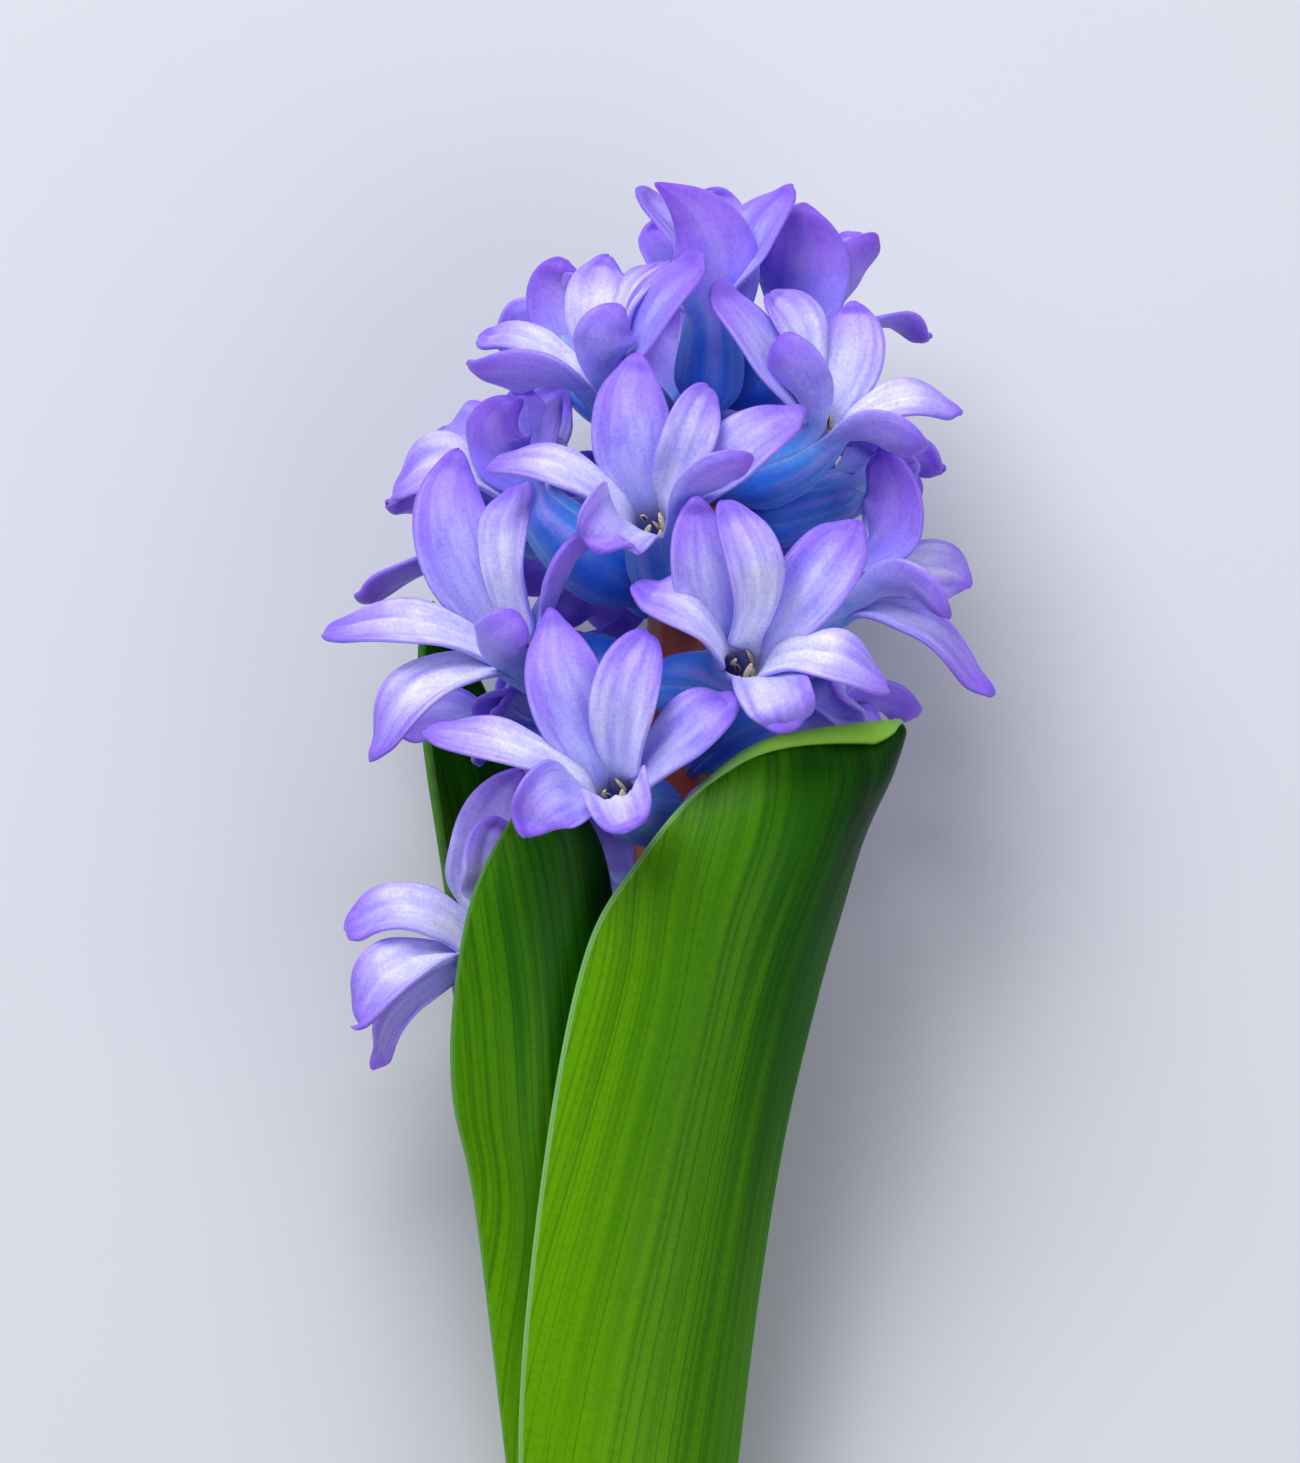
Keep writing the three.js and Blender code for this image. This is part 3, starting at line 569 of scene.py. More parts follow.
def petal_blade(floret, petal, angle, spans, seed, shape):
    """One blade as rings, with how far along, across and on which side each place is, and its grooves.

    The tube's part is a sector of a swollen pipe round the tube's curve. The petal's part is swept along
    its centre line: its margins lift by the square of the way across, wave by sines and may roll, and its
    tip is drawn in to a hood. A cubic bridge joins the two, starting and ending in their directions.
    The finish darkens the grooves with painted shade.
    """
    across = np.cos(np.linspace(0, np.pi, PETAL_COLUMNS))
    thick = np.sin(np.linspace(0, np.pi, PETAL_COLUMNS)) ** 0.6
    wall = shape.petal_thickness / MM

    u = np.linspace(0, TUBE_END, TUBE_ROWS)
    places, tangents = bezier(tube_handles(floret), u)
    e1, e2 = ring_axes(tangents)
    turn = angle + TUBE_OVERLAP * across * np.where(across > 0, spans[1], spans[0])
    swell = 1 + (floret.get("swell", 1) - 1) * np.sin(np.pi * u / TUBE_END)
    radius = (tube_radius(u) * swell - 0.5 * wall)[:, None, None]
    round_tube = np.cos(turn)[None, :, None] * e1[:, None] + np.sin(turn)[None, :, None] * e2[:, None]
    tube = places[:, None] + radius * round_tube

    x = np.linspace(0, 1, LOBE_ROWS)
    s = LOBE_START + (1 - LOBE_START) * (1 - (1 - x) ** 1.35)
    centre, sideways, inner = petal_axes(floret, petal, s)
    half = 0.5 * petal["width"] * lobe_width(s, petal)
    rows, v = s[:, None], across[None, :]
    phase = 2 * np.pi * share(seed) + 2.2 * (v > 0)
    wave = petal["wave"] * np.sin(8.5 * rows + phase) * smooth((rows - 0.15) / 0.35)
    lift = (petal["channel"] * half[:, None] * (1 - 0.6 * rows) + wave) * np.abs(v) ** 2.2
    for place, length, low, high in petal["rolls"]:
        lift += np.where(v > 0, high, low) * hump(rows - place, length) * np.abs(v) ** 2.5
    lift += petal["hood"] * smooth((rows - 0.84) / 0.16) ** 1.5
    lift -= petal["recurve"] * smooth((rows - 0.45) / 0.5) ** 2
    lobe = centre[:, None] + sideways[:, None] * (half[:, None] * v)[..., None]
    lobe += inner[:, None] * lift[..., None]

    gap = np.linalg.norm(lobe[0] - tube[-1], axis=-1, keepdims=True)
    leave, arrive = unit(tube[-1] - tube[-2]) * gap, unit(lobe[1] - lobe[0]) * gap
    f = np.linspace(0, 1, BRIDGE_ROWS + 2)[1:-1, None, None]
    bridge = (2 * f**3 - 3 * f**2 + 1) * tube[-1] + (f**3 - 2 * f**2 + f) * leave
    bridge += (3 * f**2 - 2 * f**3) * lobe[0] + (f**3 - f**2) * arrive

    middle = np.concatenate([tube, bridge, lobe])
    along = np.concatenate([
        THROAT_ALONG * u / TUBE_END, np.linspace(THROAT_ALONG, 0.5, BRIDGE_ROWS), 0.5 + 0.5 * s])
    taper = np.sqrt(np.clip((1 - along) / 0.02, 0.02, 1)) * np.clip(0.35 + along / 0.15, 0, 1)
    thickness = wall * taper[:, None] * thick[None, :]
    lobes = smooth((along - 0.5) / 0.12) * smooth((1 - along) / 0.08)
    grooved = petal["ridge"] * lobes[:, None]
    grooves = grooved * hump(np.abs(across) - GROOVE_PLACE, 0.15)
    relief = RIDGE_HEIGHT * grooved * hump(across, 0.13) - GROOVE_DEPTH * grooves
    keel = KEEL_HEIGHT * (0.3 + 0.7 * lobes[:, None]) * hump(across, 0.2)
    rings = blade(middle, across, thickness, relief, keel)
    # The grooves' depth on the inner face also goes to the finish, which paints shade into them.
    return rings, {
        "along": along[:, None], "across": round_trip(across)[None, :], "side": side_values(thick),
        "groove_shade": np.concatenate([grooves, 0 * grooves[:, -2:0:-1]], 1)}


def floret_object(key, number, material, shape):
    """Builds one floret's tube and petals and stands it for its solid."""
    floret = FLORETS[key]
    petals = six_petals(floret, number)
    angles = np.array([flare_angle(floret, p["middle"]) for p in petals])
    after = np.diff(np.append(angles, angles[0] + 2 * np.pi)) / 2
    built = Build()
    for order, lobe in enumerate(petals):
        seed = PETAL_COUNT * number + order
        spans = after[order - 1], after[order]
        rings, values = petal_blade(floret, lobe, angles[order], spans, seed, shape)
        tint = lobe["tint"] + floret.get("flush", 0) + TINT_SPREAD * (share(seed + 0.5) - 0.5)
        built.shell(rings, tint=tint, **values)
    return built.piece(f"floret_{key}_petals", material, f"floret_{key}")


# ---- stamens

STAMEN_REACH = 1.5
STAMEN_DEPTH = 2.8
INNER_STAMEN_DROP = 2.0  # every second stamen stands this much deeper
ANTHER_LENGTH = 2.5
ANTHER_HALF_WIDTH = 0.36
ANTHER_ROWS = 14
ANTHER_LOOP = 14


def add_stamens(built, floret, number):
    """Six anthers in a throat, each a spindle with a slit down the side that faces the middle.

    An anther's half width is the root of a sine along it, pinched by a high power of a cosine round it, so
    that two lobes stand on each side of the slit.
    """
    places, tangents = bezier(tube_handles(floret), np.array([1.0]))
    facing = tangents[0]
    e1, e2 = ring_axes(facing)
    x = np.linspace(0.02, 0.98, ANTHER_ROWS)
    turn = np.linspace(0, 2 * np.pi, ANTHER_LOOP, endpoint=False)
    width = ANTHER_HALF_WIDTH * np.sqrt(np.sin(np.pi * x))[:, None] * (1 - 0.4 * np.cos(turn)[None, :] ** 8)
    slit = np.clip(-np.cos(turn), 0, 1)[None, :] ** 6 * (0.4 + 0.6 * smooth(x / 0.8))[:, None]
    for k in range(PETAL_COUNT):
        lift = 0.5 * share(7 * number + k) - INNER_STAMEN_DROP * (k % 2)
        angle = 2 * np.pi * (k + 0.4 * share(3 * number + k)) / PETAL_COUNT + number
        out = np.cos(angle) * e1 + np.sin(angle) * e2
        ringway = np.cross(facing, out)
        start = places[0] + STAMEN_REACH * out + (lift - STAMEN_DEPTH) * facing
        axis = start + ANTHER_LENGTH * x[:, None] * unit(facing - 0.3 * out + 0.3 * ringway)
        rings = axis[:, None] + (width * np.cos(turn))[..., None] * out
        rings = rings + (width * np.sin(turn))[..., None] * ringway
        built.shell(rings, slit=slit)


# ---- the stem

STEM_ROWS = 120
STEM_LOOP = 48
STEM_RIBS = 7
RIB_HEIGHT = 0.1
RIB_TWIST = 0.04  # radians for each millimetre up
CUT_BEVEL = 0.25  # how far the cut end's rim is drawn in


def stem_rings():
    """The stem: a round section on a straight line, with shallow ribs that turn slowly as it rises."""
    y = STEM_LENGTH * np.linspace(0, 1, STEM_ROWS)
    turn = np.linspace(0, 2 * np.pi, STEM_LOOP, endpoint=False)
    ribs = RIB_HEIGHT * np.sin(STEM_RIBS * turn[None, :] + RIB_TWIST * y[:, None])
    ribs = ribs + 0.5 * RIB_HEIGHT * np.sin(0.3 * y[:, None])
    radius = stem_radius(y)[:, None] + ribs - RIB_HEIGHT
    radius[0] -= CUT_BEVEL
    outward = np.stack([np.sin(turn), 0 * turn, np.cos(turn)], -1)
    return stem_centre(y)[:, None] + radius[..., None] * outward[None], y[:, None] / STEM_LENGTH


# ---- leaves

LEAF_ROWS = 150
LEAF_COLUMNS = 41
CURL_COLUMNS = 12
CURL_RADIUS = 1.9
CURL_TURN = np.radians(200)
VEINS = 26
VEIN_HEIGHT = 0.035
RIPPLE_HEIGHT = 0.25


def leaf_rings(leaf, seed, shape):
    """A leaf as rings: a sheet between two margin curves, bulging away from the stem.

    Across the leaf the bulge falls off as the square of the way to the margins. Fine veins stand up as
    sines of the way across, and slow waves run along it. The left margin curls over outwards on an arc,
    whose radius grows along the leaf by a smooth ramp where the leaf is rolled.
    """
    along = 1 - (1 - np.linspace(0, 1, LEAF_ROWS)) ** 1.25
    across = np.cos(np.linspace(0, np.pi, LEAF_COLUMNS))
    curl = leaf["rolled"] * smooth((along - 0.55) / 0.42) ** 1.5 * np.clip((1 - along) / 0.11, 0, 1)
    radius = (0.04 + CURL_RADIUS * curl)[:, None]
    left, right = through(leaf["left"], along), through(leaf["right"], along)
    beyond = unit(left - right + 1e-9)
    left = left - radius * beyond * smooth((1 - along) / 0.04)[:, None]
    tangent = unit(np.gradient(0.5 * (left + right), along, axis=0))
    outward = unit(np.cross(right - left, tangent)) * leaf["side"]
    middle = 0.5 * (left + right)[:, None] + 0.5 * (right - left)[:, None] * across[None, :, None]
    places, heights = zip(*leaf["bulge"])
    bulge = np.interp(along, places, heights)[:, None] * (1 - across**2)[None, :]
    ripple = RIPPLE_HEIGHT * np.sin(7 * along + seed)[:, None] * (across * (1 - across**2))[None, :]
    middle = middle + (bulge + ripple)[..., None] * outward[:, None]
    turn = np.linspace(0, CURL_TURN, CURL_COLUMNS)[1:]
    arc = np.sin(turn)[None, :, None] * beyond[:, None] + (1 - np.cos(turn))[None, :, None] * outward[:, None]
    middle = np.concatenate([middle, middle[:, -1:] + radius[:, None] * arc], 1)
    across = np.concatenate([across, -1 - 0.01 * np.arange(1, CURL_COLUMNS)])

    thick = np.sin(np.linspace(0, np.pi, len(across))) ** 0.5
    close = np.sqrt(np.clip((1 - along) / 0.01, 0.02, 1))[:, None]
    veins = VEIN_HEIGHT * np.sin(np.pi * VEINS * across)[None, :] * thick[None, :] * close
    rings = blade(middle, across, shape.leaf_thickness / MM * thick * close, veins, veins)
    rolled = curl[:, None] * smooth((-1 - across) / 0.06)[None, :]
    lane = np.linalg.norm(middle - right[:, None], axis=-1)
    return rings, {
        "along": along[:, None], "across": round_trip(across)[None, :], "side": side_values(thick),
        "rolled": round_trip(rolled), "lane": round_trip(lane)}


# ---- finishes

# How far apart each pattern repeats, in millimetres. Where the real one is too fine to show, it is drawn
# as coarse as it needs to be.
HALF_PETAL = 3.7  # half of a petal's width, which its across value runs over
PETAL_VEIN = 0.41
PETAL_BAND = 2.2
PETAL_BLOTCH = 2.4
PETAL_CELL = 0.38  # drawn coarser: a real cell is about 0.05 across
LEAF_VEIN = 0.36
LEAF_BAND = 2.0
LEAF_CELL = 0.67  # drawn coarser: a real cell is about 0.1 across
LEAF_SPECK = 10.5
STEM_CELL = (1.1, 16.0, 1.1)  # drawn coarser: a real cell is about 0.1 across and 1 long
POLLEN_GRAIN = 0.29  # drawn coarser: a real grain is about 0.06 across
PAPER_TOOTH = 1.1  # drawn coarser: a real fibre is about 0.05 thick


def srgb(code):
    """A colour written as six hex digits, turned to linear light, with full alpha."""
    parts = np.array([int(code[i:i + 2], 16) for i in (0, 2, 4)]) / 255
    linear = np.where(parts <= 0.04045, parts / 12.92, ((parts + 0.055) / 1.055) ** 2.4)
    return (*linear.tolist(), 1.0)


def add(tree, kind, inputs=(), out=0, stops=(), ease="EASE", **settings):
    """Adds a shader node with its settings and gives one of its outputs.

    Its inputs, in order or by key, are values, or outputs that get a link. The stops are a colour ramp's:
    pairs of a place and a hex colour or a grey.
    """
    made = tree.nodes.new("ShaderNode" + kind)
    for key, value in settings.items():
        setattr(made, key, value)
    for key, value in inputs.items() if isinstance(inputs, dict) else enumerate(inputs):
        if isinstance(value, bpy.types.NodeSocket):
            tree.links.new(value, made.inputs[key])
        else:
            made.inputs[key].default_value = value
    if stops:
        made.color_ramp.interpolation = ease
        elements = made.color_ramp.elements
        while len(elements) < len(stops):
            elements.new(0.5)
        for element, (place, colour) in zip(elements, stops):
            element.position = place
            element.color = srgb(colour) if isinstance(colour, str) else (colour, colour, colour, 1)
    return made.outputs[out] if made.outputs else None


def new_material(name):
    """A material, and what adds a node to its empty tree."""
    made = bpy.data.materials.new(name)
    made.use_nodes = True
    made.node_tree.nodes.clear()
    return made, partial(add, made.node_tree)


def surface(node, colour, height, strength, depth, shader):
    """Ends a material: a colour, a bump with its strength and its depth in millimetres, and more values."""
    bump = node("Bump", {"Height": height, "Strength": strength, "Distance": depth * MM})
    node("OutputMaterial", [node("BsdfPrincipled", {"Base Color": colour, "Normal": bump, **shader})])


def grain(node, size, detail):
    """Noise in the piece's own axes that repeats at about a size in millimetres."""
    spot = node("TexCoord", out="Object")
    return node("TexNoise", {"Vector": spot, "Scale": 1 / (size * MM), "Detail": detail})


def streaks(node, lane, lanes, runs):
    """Noise drawn out along a petal or leaf: many lanes across it for each run along it."""
    across, along, side, tint = (
        node("Attribute", out="Fac", attribute_name=name) for name in (lane, "along", "side", "tint"))
    across = node("Math", (across, lanes), operation="MULTIPLY")
    along = node("Math", (along, runs), operation="MULTIPLY")
    own = node("Math", (tint, 40.0), operation="MULTIPLY")
    own = node("Math", (side, 7.0, own), operation="MULTIPLY_ADD")
    place = node("CombineXYZ", (across, along, own))
    return node("TexNoise", {"Vector": place, "Scale": 1.0, "Detail": 3.0})


def petal_material(colours):
    """Fresh hyacinth petal: thin waxy tissue full of air, so light spreads in it and its gloss is dull.

    Inside it is nearly white at the throat and violet at margins and tip, more so where tint is high.
    Outside it is deep blue on the tube and violet on the lobes, with a paler stripe along the middle.
    Painted shade darkens the grooves along the inner faces.
    """
    made, node = new_material("hyacinth_petal_tissue")
    along, across, side, tint, groove_shade = (
        node("Attribute", out="Fac", attribute_name=name)
        for name in ("along", "across", "side", "tint", "groove_shade"))
    edge = node("Math", [across], operation="ABSOLUTE")
    fine = streaks(node, "across", HALF_PETAL / PETAL_VEIN, 5.0)
    broad = streaks(node, "across", HALF_PETAL / PETAL_BAND, 3.5)
    blotch, cells = grain(node, PETAL_BLOTCH, 4.0), grain(node, PETAL_CELL, 2.0)

    # The inner face's two colours from foot to tip, then the outer face's two.
    pale, deep, outer_pale, outer_deep = (node("ValToRGB", [along], stops=stops) for stops in (
        [(0.0, "B4B8F0"), (0.45, "DADCFC"), (0.56, "F0F1FF"),
         (0.74, "E8E6FF"), (0.9, "C2B2FA"), (1.0, "8E68E0")],
        [(0.0, "8E96E6"), (0.45, "AAB0F2"), (0.58, "ACACF2"),
         (0.74, "988CEC"), (0.9, "9470E2"), (1.0, "7A48CE")],
        [(0.0, "063E9C"), (0.2, "0870DA"), (0.4, "328CE2"), (0.5, "7A9CEC"),
         (0.62, "9E9EF6"), (0.82, "A892F6"), (1.0, "8A5CDE")],
        [(0.0, "063696"), (0.2, "0866D2"), (0.4, "2E7CDA"), (0.5, "6C82E2"),
         (0.62, "8E7AEA"), (0.82, "9C70E6"), (1.0, "7E44CE")]))
    patchy = node("Math", (blotch, 0.35, -0.5), operation="MULTIPLY_ADD")
    patchy = node("Math", (broad, 0.65, patchy), operation="MULTIPLY_ADD")
    flush = node("Math", (patchy, 2.4, tint), operation="MULTIPLY_ADD", use_clamp=True)

    # The margins and the tip.
    cloudy = node("Math", (edge, 0.35, along), operation="MULTIPLY_ADD")
    cloudy = node("Math", (broad, 0.8, cloudy), operation="MULTIPLY_ADD")
    cloudy = node("Math", (cloudy, 0.5), operation="MULTIPLY")
    rim = node("ValToRGB", [cloudy], stops=[(0.6, 0.0), (0.9, 0.8)])
    line = node("ValToRGB", [edge], stops=[(0.93, 0.0), (0.99, 0.5)])
    inner_rim = node("Math", (rim, line), operation="MAXIMUM")
    outer_rim = node("Math", (rim, 0.5), operation="MULTIPLY")

    # The stripe along the outside.
    stripe = node("ValToRGB", [edge], stops=[(0.0, 0.65), (0.2, 0.5), (0.4, 0.0)])
    reach = node("ValToRGB", [along], stops=[
        (0.0, 0.0), (0.18, 0.1), (0.45, 0.9), (0.8, 0.6), (1.0, 0.1)])
    stripe = node("Math", (stripe, reach), operation="MULTIPLY")

    inside = pale
    for amount, over in ((flush, deep), (inner_rim, colours.violet)):
        inside = node("Mix", {0: amount, 6: inside, 7: over}, 2, data_type="RGBA")
    colour = outer_pale
    for amount, over in (
            (flush, outer_deep), (stripe, colours.stripe), (outer_rim, colours.violet), (side, inside)):
        colour = node("Mix", {0: amount, 6: colour, 7: over}, 2, data_type="RGBA")

    veins = node("ValToRGB", [fine], stops=[(0.32, "A9A4F0"), (0.55, "FFFFFF")])
    # Painted shade: the grooves along the inner faces are darkened towards 8C88EE.
    grooves = node("Math", (groove_shade, 0.32), operation="MULTIPLY")
    sparkle = node("ValToRGB", [cells], stops=[(0.38, "DAD8FA"), (0.58, "FFFFFF")])
    mottle = node("ValToRGB", [blotch], stops=[(0.35, "DDD8FC"), (0.6, "FFFFFF")])
    for amount, over in ((0.16, veins), (grooves, srgb("8C88EE")), (0.45, sparkle), (0.5, mottle)):
        colour = node("Mix", {0: amount, 6: colour, 7: over}, 2, data_type="RGBA", blend_type="MULTIPLY")

    height = node("Math", (cells, 0.35, fine), operation="MULTIPLY_ADD")
    surface(node, colour, height, 0.25, 0.12, {
        "Roughness": 0.5, "IOR": 1.4, "Sheen Weight": 0.1, "Sheen Roughness": 0.5,
        "Subsurface Weight": 0.25, "Subsurface Scale": 1.2 * MM, "Subsurface Radius": (0.9, 0.8, 1.0)})
    return made


def leaf_material(colours):
    """Fresh hyacinth leaf: thick, smooth and waxy, with parallel veins that show as light and dark lines.

    It is yellow-green low down and to the left; painted shade darkens it high up and to the right.
    and so is the inner face where it rolls over near the tip. A few specks are dry.
    """
    made, node = new_material("hyacinth_leaf_tissue")
    along, across, tint, rolled = (
        node("Attribute", out="Fac", attribute_name=name)
        for name in ("along", "across", "tint", "rolled"))
    fine = streaks(node, "lane", 1 / LEAF_VEIN, 0.2)
    broad = streaks(node, "lane", 1 / LEAF_BAND, 0.3)
    cells = grain(node, LEAF_CELL, 3.0)

    # Painted shade: darker towards the tip and the right margin. Broad bands vary it, and later leaves are a
    # little darker.
    painted_shade_and_bands = node("Math", (along, 0.75), operation="MULTIPLY")
    banded = node("Math", (broad, 0.5), operation="SUBTRACT")
    lower = node("Math", (1.0, tint), operation="SUBTRACT")
    for value, weight in ((across, 0.2), (banded, 0.5), (lower, 0.08)):
        painted_shade_and_bands = node("Math", (value, weight, painted_shade_and_bands), operation="MULTIPLY_ADD")
    colour = node("ValToRGB", [painted_shade_and_bands], stops=[
        (0.0, "5A9600"), (0.32, "3E7800"), (0.52, "1A5600"), (0.74, "083406")])
    lines = node("ValToRGB", [fine], stops=[(0.38, "587A38"), (0.5, "FFFFFF"), (0.66, "FFFFC8")])
    sparkle = node("ValToRGB", [cells], stops=[(0.35, "B4C88C"), (0.55, "FFFFFF")])
    for amount, over in ((0.34, lines), (0.22, sparkle)):
        colour = node("Mix", {0: amount, 6: colour, 7: over}, 2, data_type="RGBA", blend_type="MULTIPLY")

    edge = node("Math", [across], operation="ABSOLUTE")
    margin = node("ValToRGB", [edge], stops=[(0.975, 0.0), (0.992, 0.8)])
    margin = node("Math", (margin, tint), operation="MULTIPLY")
    rolled = node("ValToRGB", [rolled], stops=[(0.1, 0.0), (0.5, 1.0)])
    spot = node("TexCoord", out="Object")
    away = node("TexVoronoi", {"Vector": spot, "Scale": 1 / (LEAF_SPECK * MM)}, "Distance", feature="F1")
    specks = node("ValToRGB", [away], stops=[(0.0, 1.0), (0.03, 1.0), (0.055, 0.0)], ease="LINEAR")
    chance = node("SeparateColor", [away.node.outputs["Color"]])
    chosen = node("Math", (chance, 0.6), operation="GREATER_THAN")
    specks = node("Math", (specks, chosen), operation="MULTIPLY")
    for amount, over in ((margin, colours.margin), (rolled, colours.rolled), (specks, srgb("B9B48A"))):
        colour = node("Mix", {0: amount, 6: colour, 7: over}, 2, data_type="RGBA")

    height = node("Math", (broad, 0.6, fine), operation="MULTIPLY_ADD")
    surface(node, colour, height, 0.35, 0.25, {
        "Roughness": 0.42, "IOR": 1.4, "Specular IOR Level": 0.12,
        "Subsurface Weight": 0.08, "Subsurface Scale": MM, "Subsurface Radius": (0.4, 1.0, 0.2)})
    return made


def stem_material():
    """Fresh flower stem: fleshy and smooth, green at the foot and flushed red-brown in the head."""
    made, node = new_material("hyacinth_stem_tissue")
    spot = node("TexCoord", out="Object")
    stretched = node("Mapping", {"Vector": spot, "Scale": [1 / (size * MM) for size in STEM_CELL]})
    cells = node("TexNoise", {"Vector": stretched, "Detail": 3.0})
    along = node("Attribute", out="Fac", attribute_name="along")
    place = node("Math", (cells, 0.2, along), operation="MULTIPLY_ADD")
    colour = node("ValToRGB", [place], stops=[
        (0.1, "7E9A3C"), (0.5, "7C7C34"), (0.66, "96502E"), (0.8, "8E3A26")])
    surface(node, colour, cells, 0.2, 0.2, {
        "Roughness": 0.42, "Subsurface Weight": 0.1, "Subsurface Scale": MM})
    return made


def anther_material():
    """Ripe anthers: dull straw-coloured lobes, grainy with pollen, on each side of a violet-black slit."""
    made, node = new_material("anther_and_pollen")
    grains = grain(node, POLLEN_GRAIN, 2.0)
    slit = node("Attribute", out="Fac", attribute_name="slit")
    place = node("Math", (grains, 0.5, slit), operation="MULTIPLY_ADD")
    colour = node("ValToRGB", [place], stops=[(0.1, "BCAA78"), (0.4, "E4D8AC"), (0.85, "3A2850")])
    surface(node, colour, grains, 0.6, 0.2, {"Roughness": 0.75})
    return made


def floor_material(colour):
    """Matt paper sweep: pale and even, with no gloss and hardly any tooth."""
    made, node = new_material("paper_sweep")
    surface(node, colour, grain(node, PAPER_TOOTH, 2.0), 0.05, 0.2, {"Roughness": 0.9})
    return made


# ---- what a user may change

COLOUR = {"size": 4, "min": 0, "max": 1, "subtype": "COLOR"}


class HyacinthShape(bpy.types.PropertyGroup):
    """Sizes of the finer pieces."""

    petal_thickness: bpy.props.FloatProperty(
        name="Petal thickness", description="Thickness of a petal along its middle",
        default=0.001, min=0.0005, max=0.0016, unit="LENGTH", precision=5)
    leaf_thickness: bpy.props.FloatProperty(
        name="Leaf thickness", description="Thickness of a leaf between its margins",
        default=0.0013, min=0.0008, max=0.002, unit="LENGTH", precision=5)


class HyacinthColours(bpy.types.PropertyGroup):
    """Colours that give the flower its look."""

    violet: bpy.props.FloatVectorProperty(
        name="Petal margin", description="Colour at the margins and tips of the petals",
        default=srgb("8A66E0"), **COLOUR)
    stripe: bpy.props.FloatVectorProperty(
        name="Petal stripe", description="Colour of the stripe along the outside of a petal",
        default=srgb("A79AE8"), **COLOUR)
    margin: bpy.props.FloatVectorProperty(
        name="Leaf margin", description="Colour of the thin pale line round a leaf",
        default=srgb("86BC74"), **COLOUR)
    rolled: bpy.props.FloatVectorProperty(
        name="Rolled leaf edge", description="Colour of the inner face where a leaf's edge rolls over",
        default=srgb("8ECA44"), **COLOUR)


class HyacinthStage(bpy.types.PropertyGroup):
    """The floor, the lights and the camera."""

    floor_colour: bpy.props.FloatVectorProperty(
        name="Floor", description="Colour of the surface that the flower lies on",
        default=srgb("C8CAD2"), **COLOUR)
    key_power: bpy.props.FloatProperty(
        name="Key light", description="Power of the large soft light past the head",
        default=11.8, min=0, unit="POWER")
    sky: bpy.props.FloatProperty(
        name="Sky", description="Strength of the even light from all round",
        default=0.4, min=0, subtype="FACTOR")
    lens: bpy.props.FloatProperty(
        name="Lens", description="Focal length of the camera on a full frame",
        default=0.4, min=0.05, unit="CAMERA")


# ---- the operators

class HYACINTH_OT_florets(bpy.types.Operator):
    """Build every floret's tube and petals"""

    bl_idname = "hyacinth.florets"
    bl_label = "Florets"

    def execute(self, context):
        scene = context.scene
        material = petal_material(scene.hyacinth_colours)
        for number, key in enumerate(FLORETS):
            floret_object(key, number, material, scene.hyacinth_shape)
        return {"FINISHED"}


class HYACINTH_OT_stamens(bpy.types.Operator):
    """Build the stamens in every throat"""

    bl_idname = "hyacinth.stamens"
    bl_label = "Stamens"

    def execute(self, context):
        built = Build()
        for number, floret in enumerate(FLORETS.values()):
            add_stamens(built, floret, number)
        built.piece("stamens", anther_material())
        return {"FINISHED"}


class HYACINTH_OT_stem(bpy.types.Operator):
    """Build the flower stem"""

    bl_idname = "hyacinth.stem"
    bl_label = "Stem"

    def execute(self, context):
        rings, along = stem_rings()
        built = Build()
        built.shell(rings, along=along)
        built.piece("flower_stem", stem_material(), "stem")
        return {"FINISHED"}


class HYACINTH_OT_leaves(bpy.types.Operator):
    """Build the leaves"""

    bl_idname = "hyacinth.leaves"
    bl_label = "Leaves"

    def execute(self, context):
        scene = context.scene
        material = leaf_material(scene.hyacinth_colours)
        for number, (key, leaf) in enumerate(LEAVES.items()):
            rings, values = leaf_rings(leaf, number, scene.hyacinth_shape)
            built = Build()
            built.shell(rings, tint=1 / (1 + 2 * number), **values)
            built.piece(f"leaf_{key}_blade", material, f"leaf_{key}")
        return {"FINISHED"}


CAMERA_AIM = (0.0, 121.28, 0.0)  # on the plant, in millimetres
FIELD_HEIGHT = 162.56  # how much of the plant the picture's height takes in, in millimetres
SENSOR = 36.0
FLOOR_HALF = 1.5  # metres
SKY_COLOUR = srgb("EEF2FA")
# Each lamp's name, its place and its size in metres, and its power as a share of the key light's.
LAMPS = (("key", (-0.3, 0.6, 0.9), 0.65, 1.0), ("fill", (0.6, -0.5, 0.9), 0.9, 0.35))


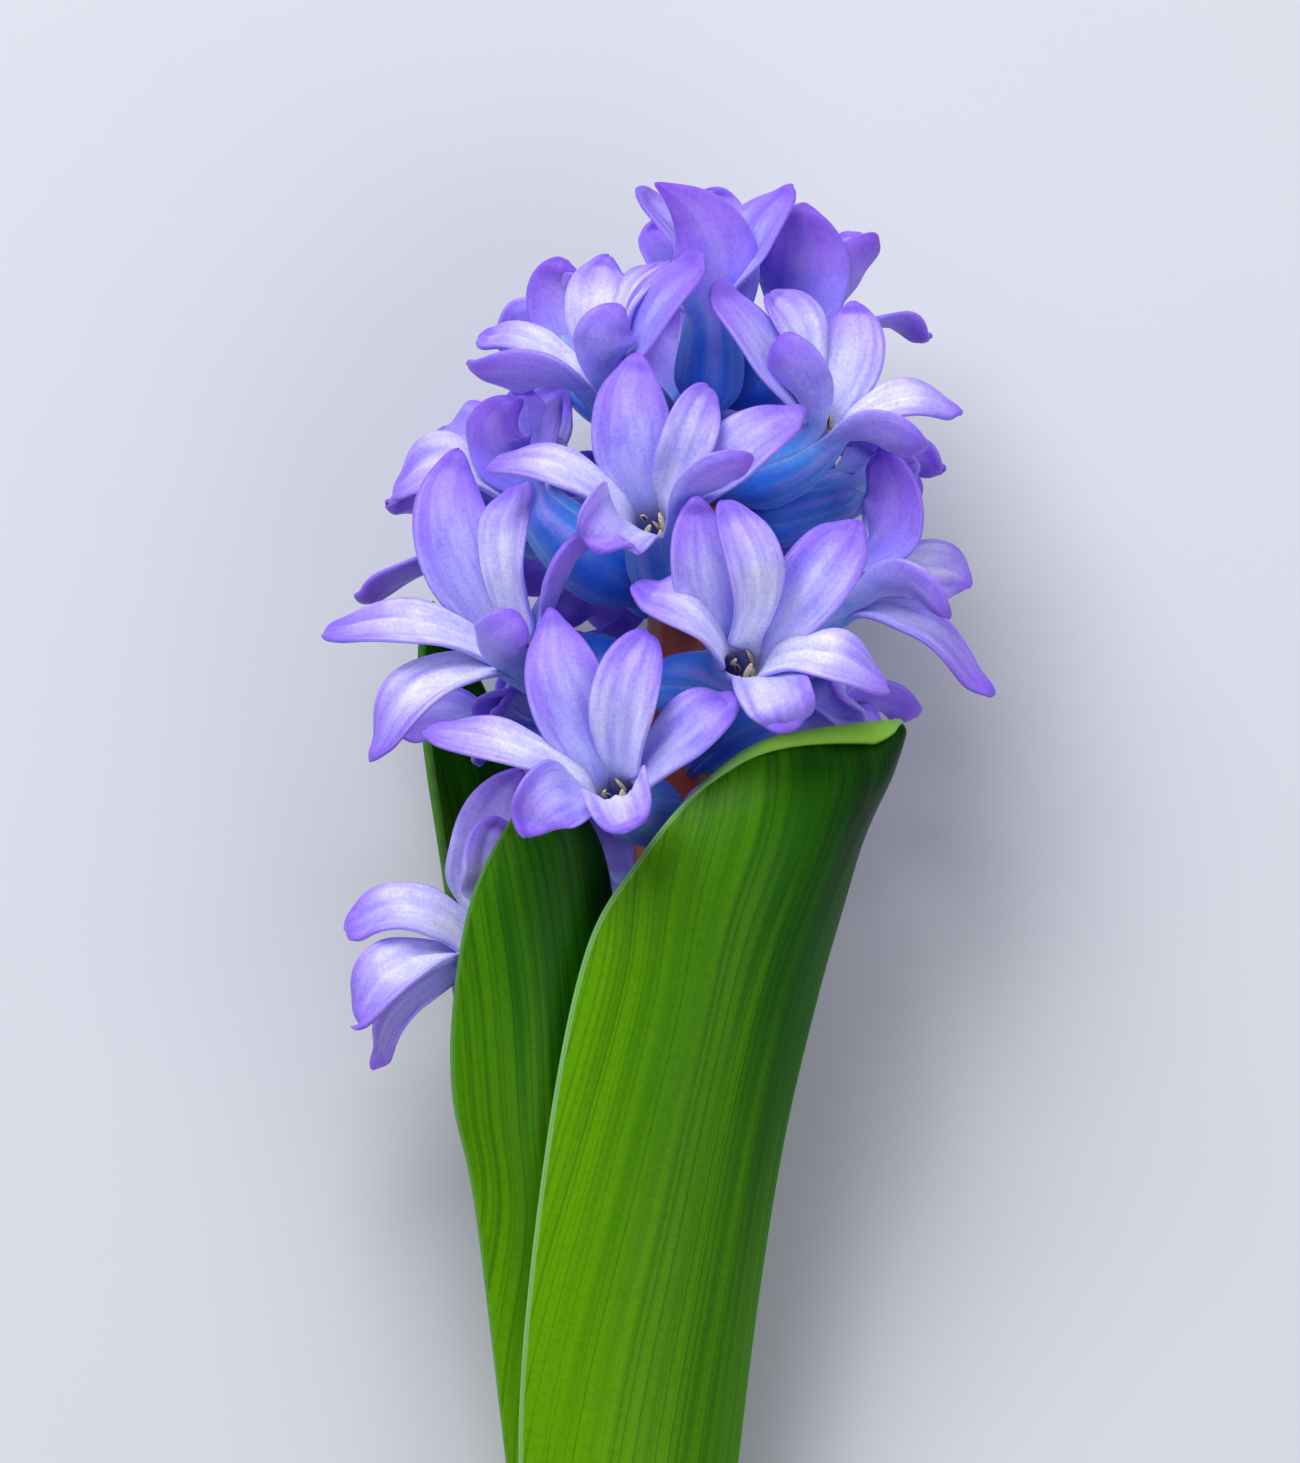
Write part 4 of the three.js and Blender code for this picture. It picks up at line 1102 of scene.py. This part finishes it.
class HYACINTH_OT_stage(bpy.types.Operator):
    """Set the floor, the lights and the camera"""

    bl_idname = "hyacinth.stage"
    bl_label = "Stage"

    def execute(self, context):
        scene, stage = context.scene, context.scene.hyacinth_stage
        floor_mesh = bpy.data.meshes.new("floor")
        corners = [(x * FLOOR_HALF, y * FLOOR_HALF, 0) for x, y in ((-1, -1), (1, -1), (1, 1), (-1, 1))]
        floor_mesh.from_pydata(corners, [], [(0, 1, 2, 3)])
        floor_mesh.materials.append(floor_material(stage.floor_colour))
        floor = bpy.data.objects.new("floor", floor_mesh)
        scene.collection.objects.link(floor)

        world = bpy.data.worlds.new("even_sky")
        world.use_nodes = True
        background = world.node_tree.nodes["Background"]
        background.inputs["Color"].default_value = SKY_COLOUR
        background.inputs["Strength"].default_value = stage.sky
        scene.world = world

        for name, place, size, part in LAMPS:
            lamp = bpy.data.lights.new(name, "AREA")
            lamp.energy, lamp.size = part * stage.key_power, size
            lit = bpy.data.objects.new(name, lamp)
            lit.location = place
            lit.rotation_mode = "QUATERNION"
            lit.rotation_quaternion = (-lit.location).to_track_quat("-Z", "Y")
            scene.collection.objects.link(lit)

        lens = bpy.data.cameras.new("camera")
        lens.lens = stage.lens / MM
        lens.sensor_width = SENSOR
        distance = FIELD_HEIGHT * lens.lens / SENSOR
        camera = bpy.data.objects.new("camera", lens)
        place = (TURN @ (np.array(CAMERA_AIM) + [0, 0, distance]) + SHIFT) * MM
        rows = [[*row, where] for row, where in zip(TURN.tolist(), place)]
        camera.matrix_world = Matrix([*rows, [0, 0, 0, 1]])
        lens.clip_start, lens.clip_end = 0.1, 10
        scene.collection.objects.link(camera)
        scene.camera = camera
        scene.view_settings.view_transform = "Standard"
        return {"FINISHED"}


class HYACINTH_PT_panel(bpy.types.Panel):
    """The flower's builders and what they read"""

    bl_idname = "HYACINTH_PT_panel"
    bl_label = "Hyacinth"
    bl_space_type = "VIEW_3D"
    bl_region_type = "UI"
    bl_category = "Hyacinth"

    def draw(self, context):
        scene = context.scene
        for group in (scene.hyacinth_shape, scene.hyacinth_colours, scene.hyacinth_stage):
            for key in group.bl_rna.properties.keys():
                if key not in ("rna_type", "name"):
                    self.layout.prop(group, key)
        for operator in OPERATORS:
            self.layout.operator(operator.bl_idname)


GROUPS = {
    "hyacinth_shape": HyacinthShape, "hyacinth_colours": HyacinthColours, "hyacinth_stage": HyacinthStage}
OPERATORS = (
    HYACINTH_OT_stage, HYACINTH_OT_stem, HYACINTH_OT_leaves, HYACINTH_OT_florets, HYACINTH_OT_stamens)


def register():
    """Registers the classes, and hangs the groups of properties on the scene."""
    for made in (*GROUPS.values(), *OPERATORS, HYACINTH_PT_panel):
        bpy.utils.register_class(made)
    for key, group in GROUPS.items():
        setattr(bpy.types.Scene, key, bpy.props.PointerProperty(type=group))


def unregister():
    """Takes away what register added, the other way round."""
    for key in GROUPS:
        delattr(bpy.types.Scene, key)
    for made in (HYACINTH_PT_panel, *reversed(OPERATORS), *reversed(GROUPS.values())):
        bpy.utils.unregister_class(made)


def main():
    """Registers the classes and builds every piece in order."""
    register()
    bpy.ops.hyacinth.stage()
    bpy.ops.hyacinth.stem()
    bpy.ops.hyacinth.leaves()
    bpy.ops.hyacinth.florets()
    bpy.ops.hyacinth.stamens()


if __name__ == "__main__":
    main()
